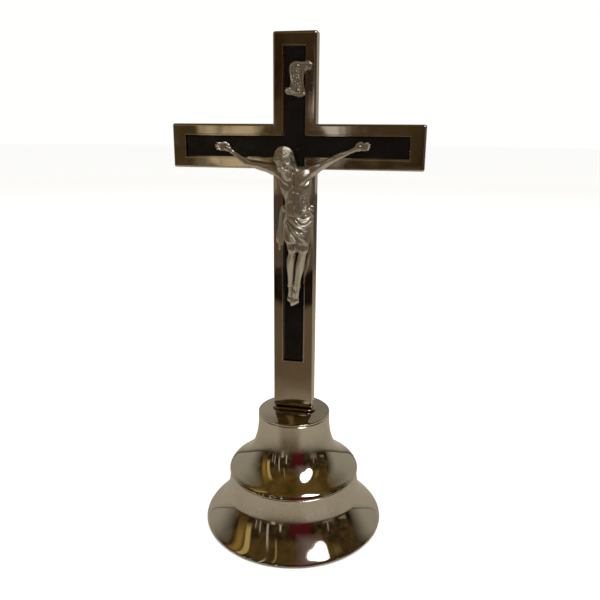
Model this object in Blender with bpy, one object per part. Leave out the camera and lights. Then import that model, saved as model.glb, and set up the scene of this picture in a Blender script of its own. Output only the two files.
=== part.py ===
"""Altar cross: a nickel cross with a black inlay, a cast figure and a title scroll,
standing on two stacked spun bells that one tie rod clamps together.

Metres, +Z up. The origin is the centre of the base, on the surface that it stands on.
The front of the cross faces -Y, and the cross is wide along X.
"""
from collections import namedtuple
from math import cos, pi, radians, sin

import bmesh
import bpy
from mathutils import Matrix, Vector
from mathutils.geometry import interpolate_bezier

# ---------------------------------------------------------------- driving dimensions
GAP = 0.0003                  # clearance between pieces that touch
SIDES = 40                    # facets round the spun pieces
SMALL_SIDES = 16              # facets round rods, holes and nails

# Base: two spun bells, a domed disc and a collar
LOWER_BELL_HEIGHT = 0.0340    # ground to the shoulder that carries the upper bell
UPPER_BELL_HEIGHT = 0.0387
FOOT_RADIUS = 0.0578          # widest, where the lower bell meets the ground
WAIST_RADIUS = 0.0420         # rim of the upper bell
SHOULDER_INSET = 0.0004       # from that rim in to the edge of the lower bell's shoulder
NECK_RADIUS = 0.0228          # top of the upper bell
SPUN_WALL = 0.0012
FOOT_RIM_WIDTH = 0.0030       # flat ring that the base rests on
SPIGOT_HEIGHT = 0.0022        # step of the lower bell that locates the upper one
SPIGOT_INSET = 0.0045         # from the shoulder's edge in to the step
FLANGE_WIDTH = 0.0085         # inward flange at the top of the upper bell
RIM_ROUND = 0.0003            # edge of the upper bell's rim
RIM_FACE = 0.0011             # upright face of that rim, and its return under the bell
DISC_THICKNESS = 0.0013
DISC_RISE = 0.0014            # how far the disc is domed above its rim
DISC_LAND = 0.0158            # radius of the flat in the middle of the disc
DISC_SLOPE = 0.0035           # from the disc's edge in to the middle of its slope
DISC_RIM = 0.0014             # flat round the disc's edge
DISC_SEAT = 0.0030            # ring of the disc that sits on the upper bell
DISC_ROUND = 0.0005
COLLAR_THICKNESS = 0.0010
COLLAR_RIM = 0.0016           # how far the collar stands out round the shaft
COLLAR_ROUND = 0.0003

# Cross
CROSS_HEIGHT = 0.2224         # foot of the shaft to the top
CROSSBAR_SPAN = 0.1465
CROSSBAR_DROP = 0.0610        # top of the cross down to the middle of the crossbar
BAR_WIDTH = 0.0250
CROSS_THICKNESS = 0.0080
EDGE_ROUND = 0.0020           # rounding of the front edge
BACK_ROUND = 0.0006
CORNER_ROUND = 0.0012
SHELL_WALL = 0.0013
POCKET_WIDTH = 0.0124
POCKET_TOP_MARGIN = 0.0075    # from the end of the cross to the end of the pocket
POCKET_ARM_MARGIN = 0.0084
POCKET_FOOT_MARGIN = 0.0318
POCKET_DEPTH = 0.0023
POCKET_ROUND = 0.0008
LIP_WIDTH = 0.0007
LIP_HEIGHT = 0.00035
INLAY_THICKNESS = 0.0012
INLAY_CHAMFER = 0.0006
BACK_PLATE_THICKNESS = 0.0010
BACK_PLATE_LEDGE = 0.0009     # ledge inside the wall that the back plate lies on
BACK_PLATE_ROUND = 0.0003

# Clamping hardware
ROD_RADIUS = 0.0015
ROD_ENGAGEMENT = 0.0140       # length of rod inside the foot block
FOOT_BLOCK_HEIGHT = 0.0180
FOOT_BLOCK_CHAMFER = 0.0010
WASHER_RADIUS = 0.0100
WASHER_THICKNESS = 0.0014
LOCK_WASHER_RADIUS = 0.0031
LOCK_WASHER_THICKNESS = 0.0008
NUT_ACROSS_FLATS = 0.0055
NUT_THICKNESS = 0.0024
NUT_CHAMFER = 0.0003
ROD_TAIL = 0.0020             # rod that shows below the nut

# Figure, nails and scroll
FIGURE_HEIGHT = 0.0905
NAIL_RADIUS = 0.00055
NAIL_HEAD_RADIUS = 0.00105
NAIL_HEAD_HEIGHT = 0.0006
PEEN_HEIGHT = 0.0006          # spread tail of a nail, behind the pocket's floor
SCROLL_HEIGHT = 0.0189
SCROLL_THICKNESS = 0.0011
SCROLL_ABOVE_CROSSBAR = 0.0360
SCROLL_OFFSET = 0.0018        # the scroll is fixed a little to the right of the middle
PIN_INSET = 0.0030            # from the top and bottom of the scroll to its pins

CUT_OVERRUN = 0.0020          # how far a hole's cutter stands out past the piece
NAIL_CUT_OVERRUN = 0.0100     # the same in front of the figure

# ---------------------------------------------------------------- derived places
SHOULDER_Z = LOWER_BELL_HEIGHT
UPPER_RIM_Z = SHOULDER_Z + GAP
NECK_Z = UPPER_RIM_Z + UPPER_BELL_HEIGHT
DISC_Z = NECK_Z + GAP
DISC_TOP = DISC_Z + DISC_THICKNESS + DISC_RISE
COLLAR_Z = DISC_TOP + GAP
FOOT_Z = COLLAR_Z + COLLAR_THICKNESS + GAP
TOP_Z = FOOT_Z + CROSS_HEIGHT
CROSSBAR_Z = TOP_Z - CROSSBAR_DROP

FRONT_Y = -CROSS_THICKNESS / 2
BACK_Y = CROSS_THICKNESS / 2
POCKET_FLOOR_Y = FRONT_Y + POCKET_DEPTH
INLAY_BACK_Y = POCKET_FLOOR_Y - GAP
INLAY_FACE_Y = INLAY_BACK_Y - INLAY_THICKNESS
FLOOR_BACK_Y = POCKET_FLOOR_Y + SHELL_WALL
CEILING_Y = FRONT_Y + SHELL_WALL
PLATE_BACK_Y = BACK_Y - GAP
PLATE_FRONT_Y = PLATE_BACK_Y - BACK_PLATE_THICKNESS
LEDGE_Y = PLATE_FRONT_Y - GAP
FIGURE_Y = INLAY_FACE_Y - GAP
SHOULDER_RADIUS = WAIST_RADIUS - SHOULDER_INSET
SCROLL_BACK_Y = FRONT_Y - LIP_HEIGHT - GAP
SCROLL_FACE_Y = SCROLL_BACK_Y - SCROLL_THICKNESS

HOLE_RADIUS = ROD_RADIUS + GAP
WEB_TOP_Z = SHOULDER_Z + SPIGOT_HEIGHT
WEB_Z = WEB_TOP_Z - SPUN_WALL
WASHER_Z = WEB_Z - GAP - WASHER_THICKNESS
LOCK_WASHER_Z = WASHER_Z - GAP - LOCK_WASHER_THICKNESS
NUT_Z = LOCK_WASHER_Z - GAP - NUT_THICKNESS
ROD_BOTTOM_Z = NUT_Z - ROD_TAIL
BLOCK_Z = FOOT_Z + SHELL_WALL + GAP
ROD_TOP_Z = BLOCK_Z + ROD_ENGAGEMENT

FINISHES = {                  # base colour, roughness, metallic
    "nickel": ((0.62, 0.58, 0.52, 1.0), 0.12, 1.0),
    "cast_nickel": ((0.55, 0.53, 0.49, 1.0), 0.32, 1.0),
    "black_inlay": ((0.012, 0.011, 0.010, 1.0), 0.22, 0.0),
    "brass": ((0.60, 0.46, 0.22, 1.0), 0.35, 1.0),
    "zinc_steel": ((0.50, 0.50, 0.48, 1.0), 0.35, 1.0),
}


# ---------------------------------------------------------------- helpers
def clear_scene():
    for thing in list(bpy.data.objects):
        bpy.data.objects.remove(thing, do_unlink=True)


def finish_material(name):
    """The Principled material of one finish, made once."""
    material = bpy.data.materials.get(name)
    if material:
        return material
    colour, roughness, metallic = FINISHES[name]
    material = bpy.data.materials.new(name)
    material.use_nodes = True
    shader = material.node_tree.nodes["Principled BSDF"]
    shader.inputs["Base Color"].default_value = colour
    shader.inputs["Roughness"].default_value = roughness
    shader.inputs["Metallic"].default_value = metallic
    material.diffuse_color = colour
    return material


def add_piece(name, bm, finish, smooth_angle=35):
    """Turn a bmesh into a named object with its finish."""
    bmesh.ops.recalc_face_normals(bm, faces=bm.faces)
    mesh = bpy.data.meshes.new(name)
    bm.to_mesh(mesh)
    bm.free()
    mesh.shade_smooth()
    mesh.set_sharp_from_angle(angle=radians(smooth_angle))
    mesh.materials.append(finish_material(finish))
    piece = bpy.data.objects.new(name, mesh)
    bpy.context.scene.collection.objects.link(piece)
    return piece


def turned(name, finish, outline, sides=SIDES):
    """Turn an outline of (radius, height) points about Z.

    An outline that starts and ends on the axis closes itself; any other is closed back to
    its first point.
    """
    bm = bmesh.new()
    verts = [bm.verts.new((r, 0, z)) for r, z in outline]
    edges = [bm.edges.new(pair) for pair in zip(verts, verts[1:])]
    if outline[0][0] > 0:
        edges.append(bm.edges.new((verts[-1], verts[0])))
    bmesh.ops.spin(bm, geom=verts + edges, cent=(0, 0, 0), axis=(0, 0, 1), angle=2 * pi,
                   steps=sides, use_merge=True)
    bmesh.ops.remove_doubles(bm, verts=bm.verts, dist=1e-6)
    return add_piece(name, bm, finish)


def lofted(name, finish, rings):
    """Skin a stack of rings, each a list of as many points, and cap both ends."""
    bm = bmesh.new()
    loops = [[bm.verts.new(point) for point in ring] for ring in rings]
    count = len(loops[0])
    for lower, upper in zip(loops, loops[1:]):
        for i in range(count):
            j = (i + 1) % count
            bm.faces.new((lower[i], lower[j], upper[j], upper[i]))
    bm.faces.new(loops[0])
    bm.faces.new(reversed(loops[-1]))
    return add_piece(name, bm, finish)


def bore(piece, name, radius, start, end):
    """Cut a round hole from start to end through a piece."""
    start, end = Vector(start), Vector(end)
    bm = bmesh.new()
    turn = (end - start).to_track_quat("Z", "Y").to_matrix().to_4x4()
    place = Matrix.Translation((start + end) / 2) @ turn
    bmesh.ops.create_cone(bm, cap_ends=True, segments=SMALL_SIDES, radius1=radius,
                          radius2=radius, depth=(end - start).length, matrix=place)
    cutter = add_piece(name, bm, "zinc_steel")
    cutter.display_type = "WIRE"
    cutter.hide_render = True
    cut = piece.modifiers.new(name, "BOOLEAN")
    cut.operation = "DIFFERENCE"
    cut.solver = "EXACT"
    cut.object = cutter
    return cutter


# ---------------------------------------------------------------- cross outline
class CrossOutline:
    """A cross seen from the front: bars of one width, each end with its own reach."""

    corner_steps = 3
    inner_round = 0.0004

    def __init__(self, half, arm, top, foot, corner):
        self.half = half
        self.arm = arm
        self.top = top
        self.foot = foot
        self.corner = max(corner, self.inner_round)

    def grown(self, by):
        """The same cross with its edge moved outwards, or inwards where by is negative."""
        return CrossOutline(self.half + by, self.arm + by, self.top + by, self.foot - by,
                            self.corner + by)

    def ring(self, y):
        """The outline's points at depth y, with every corner rounded."""
        half, arm, low, high = self.half, self.arm, CROSSBAR_Z - self.half, CROSSBAR_Z + self.half
        right = [(half, self.foot), (half, low), (arm, low), (arm, high), (half, high),
                 (half, self.top)]
        corners = [Vector(p) for p in right + [(-x, z) for x, z in reversed(right)]]
        points = []
        for i, corner in enumerate(corners):
            into = (corner - corners[i - 1]).normalized()
            out = (corners[(i + 1) % len(corners)] - corner).normalized()
            radius = self.corner if into.x * out.y - into.y * out.x > 0 else self.inner_round
            centre = corner - into * radius + out * radius
            for step in range(self.corner_steps + 1):
                angle = step / self.corner_steps * pi / 2
                point = centre + (into * sin(angle) - out * cos(angle)) * radius
                points.append((point.x, y, point.y))
        return points


def outer_outline():
    return CrossOutline(BAR_WIDTH / 2, CROSSBAR_SPAN / 2, TOP_Z, FOOT_Z, CORNER_ROUND)


def pocket_outline():
    return CrossOutline(POCKET_WIDTH / 2, CROSSBAR_SPAN / 2 - POCKET_ARM_MARGIN,
                        TOP_Z - POCKET_TOP_MARGIN, FOOT_Z + POCKET_FOOT_MARGIN, POCKET_ROUND)


# ---------------------------------------------------------------- base
# The side of a spun bell. The cove drops from the top radius by its height and flares by its
# flare; there the side slopes by its slope, and the dome carries it round to the rim. The four
# pulls set how long the curve holds its direction: below the top, before the turn, after the
# turn and above the rim.
Tier = namedtuple("Tier", "top_radius top_z rim_radius rim_z cove_height cove_flare slope pulls")

UPPER_TIER = Tier(
    top_radius=NECK_RADIUS, top_z=NECK_Z, rim_radius=SHOULDER_RADIUS, rim_z=UPPER_RIM_Z,
    cove_height=0.0206, cove_flare=0.0031, slope=radians(68),
    pulls=(0.0063, 0.0080, 0.0124, 0.0038))
LOWER_TIER = Tier(
    top_radius=SHOULDER_RADIUS, top_z=SHOULDER_Z, rim_radius=FOOT_RADIUS, rim_z=0.0,
    cove_height=0.0160, cove_flare=0.0027, slope=radians(63),
    pulls=(0.0045, 0.0045, 0.0122, 0.0024))


def bell_curve(tier, steps=8):
    """Side of a bell from top to rim: a steep cove that turns over into a round dome."""
    pull_top, pull_in, pull_out, pull_rim = tier.pulls
    top = Vector((tier.top_radius, tier.top_z))
    turn = Vector((tier.top_radius + tier.cove_flare, tier.top_z - tier.cove_height))
    rim = Vector((tier.rim_radius, tier.rim_z))
    down = Vector((0, -1))
    along = Vector((cos(tier.slope), -sin(tier.slope)))
    cove = interpolate_bezier(top, top + down * pull_top, turn - along * pull_in, turn, steps)
    dome = interpolate_bezier(turn, turn + along * pull_out, rim - down * pull_rim, rim, steps)
    return list(cove) + list(dome)[1:]


def inner_curve(curve, wall):
    """The same line moved in by the wall, square to itself."""
    moved = []
    for i, point in enumerate(curve):
        before = curve[max(i - 1, 0)]
        after = curve[min(i + 1, len(curve) - 1)]
        along = (after - before).normalized()
        moved.append(Vector((point.x + along.y * wall, point.y - along.x * wall)))
    return moved


def make_lower_bell():
    outer = bell_curve(LOWER_TIER)
    inner = inner_curve(bell_curve(LOWER_TIER, 5), SPUN_WALL)
    step_radius = LOWER_TIER.top_radius - SPIGOT_INSET
    foot_inner = FOOT_RADIUS - FOOT_RIM_WIDTH
    inner_side = [p for p in inner[1:-1] if SPUN_WALL * 1.6 < p.y < SHOULDER_Z - 2 * SPUN_WALL]
    outline = [(HOLE_RADIUS, WEB_Z), (HOLE_RADIUS, WEB_TOP_Z), (step_radius, WEB_TOP_Z),
               (step_radius, SHOULDER_Z)]
    outline += [tuple(p) for p in outer]
    outline += [(foot_inner, 0.0), (foot_inner, SPUN_WALL)]
    outline += [(FOOT_RADIUS - SPUN_WALL, SPUN_WALL)]
    outline += [tuple(p) for p in reversed(inner_side)]
    outline += [(LOWER_TIER.top_radius - SPUN_WALL, SHOULDER_Z - SPUN_WALL),
                (step_radius - SPUN_WALL, SHOULDER_Z - SPUN_WALL),
                (step_radius - SPUN_WALL, WEB_Z)]
    return turned("lower_bell", "nickel", outline)


def make_upper_bell():
    outer = bell_curve(UPPER_TIER)
    inner = inner_curve(bell_curve(UPPER_TIER, 5), SPUN_WALL)
    flange = NECK_RADIUS - FLANGE_WIDTH
    lip = WAIST_RADIUS - SPUN_WALL
    inner_side = [p for p in inner[1:-1] if UPPER_RIM_Z + SPUN_WALL < p.y < NECK_Z - 2 * SPUN_WALL]
    outline = [(flange, NECK_Z)] + [tuple(p) for p in outer[:-1]]
    outline += [(WAIST_RADIUS, UPPER_RIM_Z + RIM_FACE), (WAIST_RADIUS, UPPER_RIM_Z + RIM_ROUND),
                (WAIST_RADIUS - RIM_ROUND, UPPER_RIM_Z), (lip - RIM_ROUND, UPPER_RIM_Z)]
    outline += [tuple(p) for p in reversed(inner_side)]
    outline += [(NECK_RADIUS - SPUN_WALL, NECK_Z - SPUN_WALL), (flange, NECK_Z - SPUN_WALL)]
    return turned("upper_bell", "nickel", outline)


def make_cap_disc():
    rim_top = DISC_Z + DISC_THICKNESS
    under = DISC_TOP - DISC_THICKNESS
    edge = DISC_ROUND
    inner_land = DISC_LAND - SPUN_WALL
    outline = [(HOLE_RADIUS, under), (HOLE_RADIUS, DISC_TOP), (DISC_LAND, DISC_TOP),
               (NECK_RADIUS - DISC_SLOPE, DISC_TOP - DISC_RISE * 0.45),
               (NECK_RADIUS - DISC_RIM, rim_top), (NECK_RADIUS - edge, rim_top),
               (NECK_RADIUS, rim_top - edge), (NECK_RADIUS, DISC_Z),
               (NECK_RADIUS - DISC_SEAT, DISC_Z), (inner_land, under)]
    return turned("cap_disc", "nickel", outline)


def make_foot_collar():
    half_width = BAR_WIDTH / 2 + COLLAR_RIM
    half_depth = CROSS_THICKNESS / 2 + COLLAR_RIM
    steps = 6

    def ring(inset, z):
        radius = half_depth - inset
        points = []
        for side in (1, -1):
            for step in range(steps + 1):
                angle = side * pi / 2 + step / steps * pi
                middle = -side * (half_width - half_depth)
                points.append((middle + radius * cos(angle), radius * sin(angle), z))
        return points

    top = COLLAR_Z + COLLAR_THICKNESS
    collar = lofted("foot_collar", "nickel", [ring(0, COLLAR_Z), ring(0, top - COLLAR_ROUND),
                                              ring(COLLAR_ROUND, top)])
    bore(collar, "cut_collar", HOLE_RADIUS, (0, 0, COLLAR_Z - CUT_OVERRUN), (0, 0, top + CUT_OVERRUN))
    return collar


# ---------------------------------------------------------------- cross
def make_cross_frame():
    """Shell, open at the back: pocket floor, lip, rounded front edge, wall, ledge, ceiling."""
    outer = outer_outline()
    pocket = pocket_outline()
    lip_y = FRONT_Y - LIP_HEIGHT
    lip_round = LIP_HEIGHT * 0.6
    rings = [pocket.ring(POCKET_FLOOR_Y), pocket.ring(lip_y + lip_round),
             pocket.grown(lip_round).ring(lip_y), pocket.grown(LIP_WIDTH - lip_round).ring(lip_y),
             pocket.grown(LIP_WIDTH).ring(FRONT_Y)]
    edge_steps = 4
    for step in range(edge_steps + 1):
        angle = step / edge_steps * pi / 2
        rings.append(outer.grown(-EDGE_ROUND * (1 - sin(angle)))
                     .ring(FRONT_Y + EDGE_ROUND * (1 - cos(angle))))
    wall = outer.grown(-SHELL_WALL)
    hollow = outer.grown(-SHELL_WALL - BACK_PLATE_LEDGE)
    tray = pocket.grown(SHELL_WALL)
    rings += [outer.ring(BACK_Y - BACK_ROUND), outer.grown(-BACK_ROUND).ring(BACK_Y),
              wall.ring(BACK_Y), wall.ring(LEDGE_Y), hollow.ring(LEDGE_Y), hollow.ring(CEILING_Y),
              tray.ring(CEILING_Y), tray.ring(FLOOR_BACK_Y)]
    frame = lofted("cross_frame", "nickel", rings)
    bore(frame, "cut_shaft_foot", HOLE_RADIUS, (0, 0, FOOT_Z - CUT_OVERRUN),
         (0, 0, FOOT_Z + SHELL_WALL + CUT_OVERRUN))
    return frame


def make_inlay():
    body = pocket_outline().grown(-GAP)
    return lofted("inlay", "black_inlay", [
        body.ring(INLAY_BACK_Y), body.ring(INLAY_FACE_Y + INLAY_CHAMFER * 0.7),
        body.grown(-INLAY_CHAMFER).ring(INLAY_FACE_Y)])


def make_back_plate():
    body = outer_outline().grown(-SHELL_WALL - GAP)
    return lofted("back_plate", "nickel", [
        body.ring(PLATE_FRONT_Y), body.ring(PLATE_BACK_Y - BACK_PLATE_ROUND),
        body.grown(-BACK_PLATE_ROUND).ring(PLATE_BACK_Y)])


def make_foot_block():
    """Tapped block in the foot of the shaft, between the shell's front and the back plate."""
    half_width = BAR_WIDTH / 2 - SHELL_WALL - BACK_PLATE_LEDGE - GAP
    front = CEILING_Y + GAP
    back = LEDGE_Y - GAP
    corner = FOOT_BLOCK_CHAMFER

    def ring(z, inset):
        points = [(half_width, front + corner), (half_width, back - corner),
                  (half_width - corner, back), (corner - half_width, back),
                  (-half_width, back - corner), (-half_width, front + corner),
                  (corner - half_width, front), (half_width - corner, front)]
        return [(x - inset * (1 if x > 0 else -1), y, z) for x, y in points]

    bottom = BLOCK_Z + BACK_PLATE_LEDGE
    top = bottom + FOOT_BLOCK_HEIGHT
    block = lofted("foot_block", "brass", [ring(bottom, corner / 2), ring(bottom + corner / 2, 0),
                                           ring(top - corner / 2, 0), ring(top, corner / 2)])
    bore(block, "cut_block", HOLE_RADIUS, (0, 0, bottom - CUT_OVERRUN), (0, 0, ROD_TOP_Z + GAP))
    return block


# ---------------------------------------------------------------- clamping hardware
def make_tie_rod():
    chamfer = ROD_RADIUS * 0.3
    outline = [(0, ROD_BOTTOM_Z), (ROD_RADIUS - chamfer, ROD_BOTTOM_Z),
               (ROD_RADIUS, ROD_BOTTOM_Z + chamfer), (ROD_RADIUS, ROD_TOP_Z - chamfer),
               (ROD_RADIUS - chamfer, ROD_TOP_Z), (0, ROD_TOP_Z)]
    return turned("tie_rod", "zinc_steel", outline, SMALL_SIDES)


def make_washer(name, radius, bottom, thickness):
    edge = thickness * 0.2
    top = bottom + thickness
    outline = [(HOLE_RADIUS, bottom), (radius - edge, bottom), (radius, bottom + edge),
               (radius, top - edge), (radius - edge, top), (HOLE_RADIUS, top)]
    return turned(name, "zinc_steel", outline, 24)


def make_clamp_nut():
    """Hexagon nut with chamfered corners."""
    corner = NUT_ACROSS_FLATS / 2 / cos(pi / 6)

    def ring(radius, z):
        return [(radius * cos(k * pi / 3), radius * sin(k * pi / 3), z) for k in range(6)]

    top = NUT_Z + NUT_THICKNESS
    nut = lofted("clamp_nut", "zinc_steel", [
        ring(corner - NUT_CHAMFER, NUT_Z), ring(corner, NUT_Z + NUT_CHAMFER),
        ring(corner, top - NUT_CHAMFER), ring(corner - NUT_CHAMFER, top)])
    bore(nut, "cut_nut", HOLE_RADIUS, (0, 0, NUT_Z - CUT_OVERRUN), (0, 0, top + CUT_OVERRUN))
    return nut


# ---------------------------------------------------------------- figure
# Places on the figure, in millimetres of a figure 90.5 mm tall: across, forward of the inlay,
# above the middle of the crossbar, and the radius of the body there.
FIGURE_MODEL_HEIGHT = 90.5
LEFT_ARM = [(-11.0, 6.6, -12.4, 3.1), (-18.0, 5.7, -11.2, 2.4), (-26.2, 4.5, -9.2, 1.8),
            (-31.0, 3.6, -6.2, 1.9), (-36.0, 2.7, -2.9, 1.2), (-39.6, 2.0, -0.8, 1.8),
            (-45.0, 2.5, 0.1, 1.1)]
RIGHT_ARM = [(12.4, 6.6, -12.6, 3.1), (18.2, 5.7, -8.8, 2.4), (24.0, 4.6, -5.6, 1.8),
             (29.0, 3.6, -3.5, 1.9), (33.6, 2.7, -1.6, 1.2), (37.3, 2.0, 0.1, 1.8),
             (41.8, 2.5, 0.7, 1.1)]
NECK = [(1.6, 7.0, -18.5, 4.0), (0.6, 8.2, -14.5, 3.2), (-2.6, 10.4, -9.5, 4.6)]
HEAD = [(-4.6, 10.6, -7.1, 5.9), (-1.7, 12.6, -11.6, 4.3), (0.4, 12.2, -15.6, 2.3)]
LEFT_HAIR = [(-5.4, 9.6, -7.5, 5.4), (-8.2, 8.8, -11.0, 3.1), (-8.8, 7.6, -15.2, 2.2)]
RIGHT_HAIR = [(-2.6, 9.6, -6.5, 5.2), (-0.2, 8.6, -9.5, 3.2), (3.2, 7.6, -13.8, 1.8)]
SHOULDERS = [(-11.0, 6.6, -12.4, 3.1), (-3.2, 7.0, -17.2, 4.2), (5.6, 7.0, -17.4, 4.2),
             (12.4, 6.6, -12.6, 3.1)]
CHEST = [(-2.2, 7.2, -19.5, 4.9), (-0.2, 7.8, -26.5, 4.6), (0.9, 7.6, -34.0, 4.2),
         (0.4, 7.6, -42.0, 4.8)]
CHEST_RIGHT = [(6.4, 7.2, -20.0, 4.9), (5.8, 7.8, -27.0, 4.6), (5.8, 7.6, -34.0, 4.2),
               (7.6, 7.6, -42.0, 5.2)]
BELLY = [(2.4, 8.6, -21.0, 4.6), (3.0, 9.0, -28.0, 4.4), (3.5, 8.6, -36.0, 4.6)]
LEFT_LEG = [(0.6, 8.0, -43.0, 5.4), (2.1, 13.0, -55.5, 3.3), (0.7, 10.0, -65.5, 3.0),
            (0.3, 5.9, -78.0, 1.9), (0.2, 4.7, -83.0, 2.2), (-1.2, 3.4, -88.2, 2.2)]
RIGHT_LEG = [(7.2, 8.0, -43.0, 5.6), (7.8, 12.6, -56.0, 3.1), (5.4, 9.6, -66.5, 2.9),
             (3.2, 6.6, -78.0, 1.9), (2.6, 5.6, -83.0, 2.2), (2.8, 3.7, -88.4, 2.2)]
CLOTH = [(1.0, 9.0, -40.0, 5.6), (7.4, 9.0, -40.5, 5.6), (6.2, 11.8, -49.0, 5.0),
         (2.2, 11.6, -49.5, 4.9), (1.0, 9.0, -40.0, 5.6)]
CLOTH_TAIL = [(-3.6, 6.4, -35.6, 2.4), (-5.9, 5.4, -40.0, 2.3), (-6.7, 5.0, -48.0, 2.3),
              (-7.2, 4.8, -57.0, 1.5)]
FIGURE_RUNS = [LEFT_ARM, RIGHT_ARM, NECK, HEAD, LEFT_HAIR, RIGHT_HAIR, SHOULDERS, CHEST,
               CHEST_RIGHT, BELLY, LEFT_LEG, RIGHT_LEG, CLOTH, CLOTH_TAIL]
LEFT_NAIL = (-39.6, 3.6, -0.8)
RIGHT_NAIL = (37.3, 3.6, 0.1)
FOOT_NAIL = (2.4, 7.9, -83.1)


def figure_place(x, forward, up):
    """A place on the figure, in metres, in front of the inlay at the crossbar's height."""
    unit = FIGURE_HEIGHT / FIGURE_MODEL_HEIGHT
    return Vector((x * unit, FIGURE_Y - forward * unit, CROSSBAR_Z + up * unit))


def add_limb(bm, start, end):
    """A tapered, round-ended stretch of body between two places."""
    unit = FIGURE_HEIGHT / FIGURE_MODEL_HEIGHT
    a, b = figure_place(*start[:3]), figure_place(*end[:3])
    length = (b - a).length
    turn = (b - a).to_track_quat("Z", "Y").to_matrix().to_4x4()
    bmesh.ops.create_cone(bm, cap_ends=True, segments=16, radius1=start[3] * unit,
                          radius2=end[3] * unit, depth=length,
                          matrix=Matrix.Translation((a + b) / 2) @ turn)
    for place, radius in ((a, start[3]), (b, end[3])):
        bmesh.ops.create_icosphere(bm, subdivisions=2, radius=radius * unit,
                                   matrix=Matrix.Translation(place))


def make_corpus():
    """The cast figure: limbs and cloth run together into one skin, then thinned."""
    bm = bmesh.new()
    for run in FIGURE_RUNS:
        for start, end in zip(run, run[1:]):
            add_limb(bm, start, end)
    corpus = add_piece("corpus", bm, "cast_nickel", 180)
    remesh = corpus.modifiers.new("one_skin", "REMESH")
    remesh.mode = "VOXEL"
    remesh.voxel_size = FIGURE_HEIGHT / 150
    remesh.use_smooth_shade = True
    soften = corpus.modifiers.new("soften", "SMOOTH")
    soften.factor = 0.5
    soften.iterations = 3
    thin = corpus.modifiers.new("thin", "DECIMATE")
    thin.ratio = 0.075
    thin.use_collapse_triangulate = True
    return corpus


def make_nail(name, head_place):
    """A pin with a domed head in front and a spread tail behind the pocket's floor."""
    head = figure_place(*head_place)
    tail_y = FLOOR_BACK_Y + GAP + PEEN_HEIGHT
    length = tail_y - head.y
    peen = length - PEEN_HEIGHT
    outline = [(0, -NAIL_HEAD_HEIGHT), (NAIL_HEAD_RADIUS * 0.6, -NAIL_HEAD_HEIGHT * 0.85),
               (NAIL_HEAD_RADIUS * 0.95, -NAIL_HEAD_HEIGHT * 0.4), (NAIL_HEAD_RADIUS, 0),
               (NAIL_RADIUS, 0), (NAIL_RADIUS, peen), (NAIL_RADIUS * 1.6, peen + GAP / 3),
               (NAIL_RADIUS * 1.3, length), (0, length)]
    nail = turned(name, "nickel", outline, SMALL_SIDES)
    nail.rotation_euler = (-pi / 2, 0, 0)
    nail.location = head
    return nail


def nail_hole(pieces, name, place):
    """Holes for one nail, or scroll pin, through each piece that it passes."""
    radius = NAIL_RADIUS + GAP
    for piece in pieces:
        bore(piece, f"cut_{name}_{piece.name}", radius, (place.x, place.y - NAIL_CUT_OVERRUN, place.z),
             (place.x, FLOOR_BACK_Y + GAP, place.z))


def nail_seat(piece, name, place):
    """A shallow flat round for the nail's head to sit in."""
    bore(piece, f"seat_{name}", NAIL_HEAD_RADIUS + GAP, (place.x, place.y - NAIL_CUT_OVERRUN, place.z),
         (place.x, place.y + GAP, place.z))


# ---------------------------------------------------------------- scroll
# Outline of the scroll about its middle, in millimetres of a scroll 18.9 mm high.
SCROLL_MODEL_HEIGHT = 18.9
SCROLL_POINTS = [(-4.3, 3.5), (-3.8, 7.6), (-1.0, 9.2), (3.4, 8.9), (6.4, 9.3), (8.1, 7.2),
                 (6.9, 5.0), (4.6, 4.2), (4.2, 0.0), (4.7, -5.0), (4.9, -8.2), (1.5, -9.6),
                 (-3.0, -8.5), (-6.3, -7.5), (-6.4, -5.3), (-4.4, -4.3), (-3.7, -1.0)]


def smooth_loop(points, steps):
    """A closed curve through the points."""
    count = len(points)
    places = [Vector(p) for p in points]
    loop = []
    for i in range(count):
        before, here, there, after = (places[(i + k) % count] for k in (-1, 0, 1, 2))
        pull, push = (there - before) / 6, (after - here) / 6
        loop += list(interpolate_bezier(here, here + pull, there - push, there, steps + 1))[:-1]
    return loop


def make_scroll():
    unit = SCROLL_HEIGHT / SCROLL_MODEL_HEIGHT
    loop = smooth_loop(SCROLL_POINTS, 3)
    middle = Vector((SCROLL_OFFSET, CROSSBAR_Z + SCROLL_ABOVE_CROSSBAR))

    def ring(y, share):
        return [(middle.x + p.x * unit * share, y, middle.y + p.y * unit * share) for p in loop]

    edge = SCROLL_THICKNESS * 0.3
    return lofted("scroll", "cast_nickel", [ring(SCROLL_BACK_Y, 1), ring(SCROLL_FACE_Y + edge, 1),
                                            ring(SCROLL_FACE_Y, 0.96)])


def scroll_pin_places():
    """Where the two pins stand: their heads sit on the scroll's face."""
    unit = FIGURE_HEIGHT / FIGURE_MODEL_HEIGHT
    middle = CROSSBAR_Z + SCROLL_ABOVE_CROSSBAR
    forward = (FIGURE_Y - SCROLL_FACE_Y + GAP) / unit
    reach = SCROLL_HEIGHT / 2 - PIN_INSET
    return {
        "scroll_pin_upper": (SCROLL_OFFSET / unit, forward,
                             (middle + reach - CROSSBAR_Z) / unit),
        "scroll_pin_lower": (SCROLL_OFFSET / unit, forward,
                             (middle - reach - CROSSBAR_Z) / unit),
    }


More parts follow.
